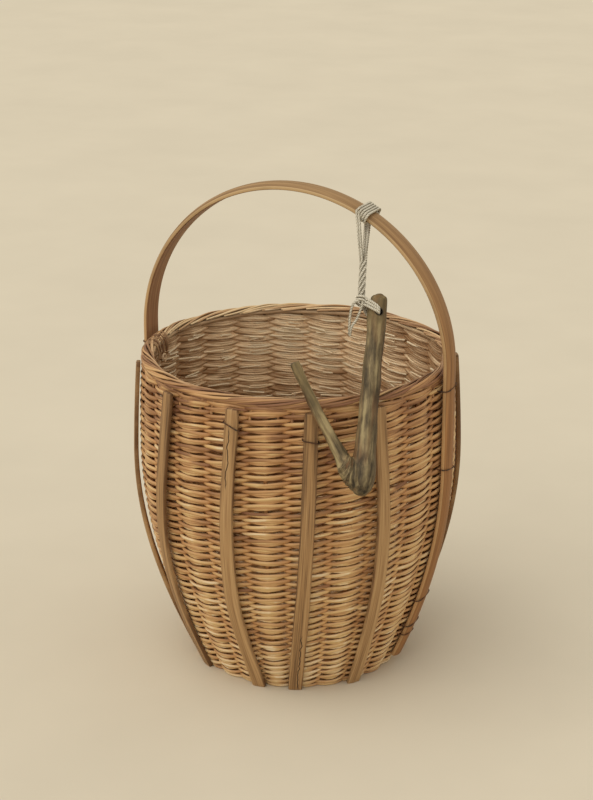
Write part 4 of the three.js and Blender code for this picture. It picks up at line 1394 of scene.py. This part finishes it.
def neighbours(path):
    """Direction from a strand to the ones beside it: along the bar, or round the stretch below it."""
    run = ((path - BAR) @ SLING_DOWN)[:, None]
    around = np.cross(SLING_DOWN, path - BAR) + 1e-6
    return np.where(run < 8 * MM, BAR_DOWN, unit(around))


def painted_ply_shade(path, out, aside):
    """Painted shade round a ply: dark between the plies, and towards the strands on either side."""
    up = np.cross(unit(np.gradient(path, axis=0)), out)
    turn = np.arange(6) * math.pi / 3
    reach = np.sum(out * aside, axis=1)[:, None] * (1 + np.cos(turn))
    reach = reach + np.sum(up * aside, axis=1)[:, None] * np.sin(turn)
    return np.maximum(0.5 * PLY_PAINTED_SHADE, smoothstep(0.95, 1.95, np.abs(reach)))


def lay(rods, path, settings, aside):
    girth = PLY_SHARE * CORD_RADIUS
    for line, out in plies(path, settings):
        rods.add(line, girth, girth, out=out, sides=6, cut=0.5, shade=painted_ply_shade(path, out, aside))


def lay_split(above, below, path, settings, turns=None):
    """Lays a strand in two pieces, parted where it is a set run below the bar, and any turns in a third."""
    low = (path - BAR) @ SLING_DOWN >= SPLIT_RUN
    edges = np.flatnonzero(np.diff(low.astype(int))) + 1
    first_turn = int(np.argmin(np.linalg.norm(path - winding_point(0), axis=1)))
    girth = PLY_SHARE * CORD_RADIUS
    for line, out in plies(path, settings):
        shade = painted_ply_shade(path, out, neighbours(path))
        for part in np.split(np.arange(len(path)), edges):
            first, last = part[0], part[-1] + 1
            if low[first]:
                spans = [(below, max(first - 1, 0), last)]
            elif turns:
                spans = [(above, first, first_turn + 1), (turns, first_turn, last + 1)]
            else:
                spans = [(above, first, last + 1)]
            for rods, start, stop in spans:
                keep = slice(start, stop)
                rods.add(line[keep], girth, girth, out=out[keep], sides=6, cut=0.5, shade=shade[keep])


def hole_strand(shift, side):
    """From the knot over the side of the limb and into its hole."""
    tilt = unit(np.array(LIMB_TOP) - np.array(LIMB_FOOT))
    table = np.array((
        (-12.5, 14.0, 1.5), (-9.8, 10.9, 6.0), (-6.8, 7.1, 9.4), (-3.4, 3.4, 11.2), (-0.9, 0.9, 10.2),
        (-0.1, 0.2, 6.5), (0.0, 0.0, 0.0),
    )) * MM
    spread = np.array((0.9, 1.0, 1.0, 0.9, 0.7, 0.55, 0.5)) * shift
    return [
        hook_place(HOLE[0] + aside + tilt[0] * gap, HOLE[1] + up + tilt[1] * gap, side * out)
        for (aside, up, out), gap in zip(table, spread)
    ]


def knot_wraps():
    """Turns of the hitch that close the twisted stretch above the hook."""
    axis = unit(-SLING_DOWN + SCREEN_RIGHT * 0.35)
    first = unit(np.cross(axis, SCREEN_NEAR))
    second = np.cross(axis, first)
    around = np.linspace(0, 2 * math.pi * 2.3, 64)
    ring = 5.0 * MM + 0.6 * MM * np.sin(around * 1.3)
    rise = np.linspace(-3.4, 3.4, len(around)) * MM
    circle = first * np.cos(around)[:, None] + second * np.sin(around)[:, None]
    return KNOT_PLACE + axis * rise[:, None] + circle * ring[:, None]


def hang(points):
    """Points by their place right of the knot, above it and nearer than it, in millimetres."""
    axes = np.array((SCREEN_RIGHT, UP, SCREEN_NEAR))
    return [KNOT_PLACE + np.array(point) * MM @ axes for point in points]


TAILS = {
    "cord_end_left": (
        (-1.5, -0.5, 4.0), (-5.6, -1.6, 5.0), (-8.6, -6.4, 5.0), (-10.2, -14.0, 4.6), (-10.8, -23.0, 4.0),
        (-11.0, -34.0, 3.6),
    ),
    "cord_end_right": (
        (1.5, -1.0, 5.0), (0.4, -6.4, 6.6), (-1.8, -13.0, 7.4), (-4.6, -19.5, 7.6), (-8.2, -25.0, 7.2),
        (-9.8, -30.0, 6.8), (-10.2, -35.0, 6.4),
    ),
}


class BASKET_OT_cord(bpy.types.Operator):
    """Wind the cord on the handle, twist it, knot it and tie it through the hook"""

    bl_idname = "basket.cord"
    bl_label = "Tie the Cord"

    def execute(self, context):
        settings = context.scene.apple_basket.cord
        finish = cord_finish("laid_cord", settings)
        turns, falls, sling, knot = Rods(), Rods(), Rods(), Rods()
        *loops_over, wound = cord_strands()
        for strand in loops_over:
            lay_split(falls, sling, strand, settings)
        lay_split(falls, sling, wound, settings, turns)
        settle(turns.piece("wound_cord"), "basket", "cord", [finish], "cord_bar_winding")
        fanned, twisted = falls.piece("fanned_cord"), sling.piece("twisted_cord")
        self.bend(fanned, finish, "cord_bar_winding", ("basket", "sling"), BAR_BEND)
        self.bend(twisted, finish, "cord_sling", ("sling", "hook"), KNOT_BEND)
        self.declare_sling(twisted)
        lay(knot, even(knot_wraps(), 0.8 * MM), settings, SLING_DOWN)
        settle(knot.piece("hitch"), "hook", "cord", [finish], "cord_knot")
        loops = Rods()
        for shift in (-3.1 * MM, 0.0, 3.1 * MM):
            there = hole_strand(shift, 1)
            back = hole_strand(shift, -1)[::-1]
            lay(loops, smooth(there + back[1:], 0.8 * MM), settings, HOOK_UP)
        settle(loops.piece("hook_loops"), "hook", "cord", [finish], "cord_hook_loop")
        for name, points in TAILS.items():
            self.hang_tail(name, smooth(hang(points), 0.8 * MM), settings, finish)
        return {"FINISHED"}

    def bend(self, obj, finish, node, bodies, span):
        """Gives a piece of the cord its finish, hides the node that it stands for and bakes its place into
        its points; bodies and span are not used.
        """
        obj.data.materials.append(finish)
        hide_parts(node)
        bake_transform(obj)

    def declare_sling(self, obj):
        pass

    def hang_tail(self, name, path, settings, finish):
        rods = Rods()
        # Painted shade along the left and right sides of each tail, as an outline
        lay(rods, path, settings, SCREEN_RIGHT)
        obj = settle(rods.piece(name), "hook", "cord", [finish], "cord_tail")


# Stage


class BASKET_OT_stage(bpy.types.Operator):
    """Set the floor, the soft light and the camera"""

    bl_idname = "basket.stage"
    bl_label = "Set the Stage"

    def execute(self, context):
        settings = context.scene.apple_basket.stage
        context.scene.view_settings.view_transform = "Standard"
        self.set_camera(context)
        self.lay_floor(settings)
        self.light_sky(context, settings)
        self.add_key(settings)
        return {"FINISHED"}

    def set_camera(self, context):
        data = bpy.data.cameras.new("picture_camera")
        data.lens = CAMERA_LENS
        camera = add_object("picture_camera", data)
        camera.location = CAMERA_EYE
        view = Vector(CAMERA_TARGET) - Vector(CAMERA_EYE)
        camera.rotation_euler = view.to_track_quat("-Z", "Y").to_euler()
        context.scene.camera = camera

    def lay_floor(self, settings):
        deselect()
        bpy.ops.mesh.primitive_circle_add(vertices=64, radius=FLOOR_RADIUS, fill_type="NGON")
        floor = bpy.context.object
        floor.name = "floor"
        finish = Finish("floor_paper")
        source = finish.node("TexCoord").outputs["Object"]
        mottle = finish.level(finish.streaks(source, (4, 4, 4), detail=3.0), 0.3, 0.7, 0.97, 1.02)
        shade = finish.mix(1.0, linear(settings.floor), mottle, "MULTIPLY")
        floor.data.materials.append(finish.surface(Base_Color=shade, Roughness=0.95, Specular_IOR_Level=0.0))

    def light_sky(self, context, settings):
        world = bpy.data.worlds.new("studio")
        world.use_nodes = True
        sky = Wiring(world.node_tree)
        ray = sky.node("LightPath").outputs
        seen = sky.math("MAXIMUM", ray["Is Camera Ray"], ray["Is Glossy Ray"])
        seen = sky.math("MAXIMUM", seen, ray["Is Transmission Ray"])
        light = sky.node("Background", {"Color": SKY_COLOUR, "Strength": settings.fill}).outputs[0]
        view = sky.node("Background", {"Color": linear(settings.floor)}).outputs[0]
        mixed = sky.node("MixShader", {0: seen, 1: light, 2: view}).outputs[0]
        sky.node("OutputWorld", {"Surface": mixed})
        context.scene.world = world

    def add_key(self, settings):
        data = bpy.data.lights.new("key_light", "SUN")
        data.energy = settings.key
        data.angle = KEY_SOFTNESS
        data.color = KEY_COLOUR
        add_object("key_light", data).rotation_euler = Vector(KEY_FROM).to_track_quat("Z", "Y").to_euler()


class BASKET_PT_sidebar(bpy.types.Panel):
    """Sizes, colours and steps of the basket"""

    bl_idname = "BASKET_PT_sidebar"
    bl_label = "Apple Basket"
    bl_space_type = "VIEW_3D"
    bl_region_type = "UI"
    bl_category = "Basket"

    def draw(self, context):
        settings = context.scene.apple_basket
        for group in (settings.stage, settings.cord, settings.weave, settings.splint, settings.hook):
            box = self.layout.box()
            for name in group.bl_rna.properties.keys():
                if name not in ("rna_type", "name"):
                    box.prop(group, name)
        for step in STEPS:
            self.layout.operator(step.bl_idname)


STEPS = (
    BASKET_OT_stage,
    BASKET_OT_cord,
    BASKET_OT_weave,
    BASKET_OT_stakes,
    BASKET_OT_border,
    BASKET_OT_base,
    BASKET_OT_staves,
    BASKET_OT_handle,
    BASKET_OT_ties,
    BASKET_OT_hook,
)
SETTINGS = (WeaveSettings, SplintSettings, HookSettings, CordSettings, StageSettings, BasketSettings)


def register():
    for cls in (*SETTINGS, *STEPS, BASKET_PT_sidebar):
        bpy.utils.register_class(cls)
    bpy.types.Scene.apple_basket = PointerProperty(type=BasketSettings)


def unregister():
    del bpy.types.Scene.apple_basket
    for cls in reversed((*SETTINGS, *STEPS, BASKET_PT_sidebar)):
        bpy.utils.unregister_class(cls)


def main():
    register()
    for step in STEPS:
        group, name = step.bl_idname.split(".")
        getattr(getattr(bpy.ops, group), name)()


if __name__ == "__main__":
    main()
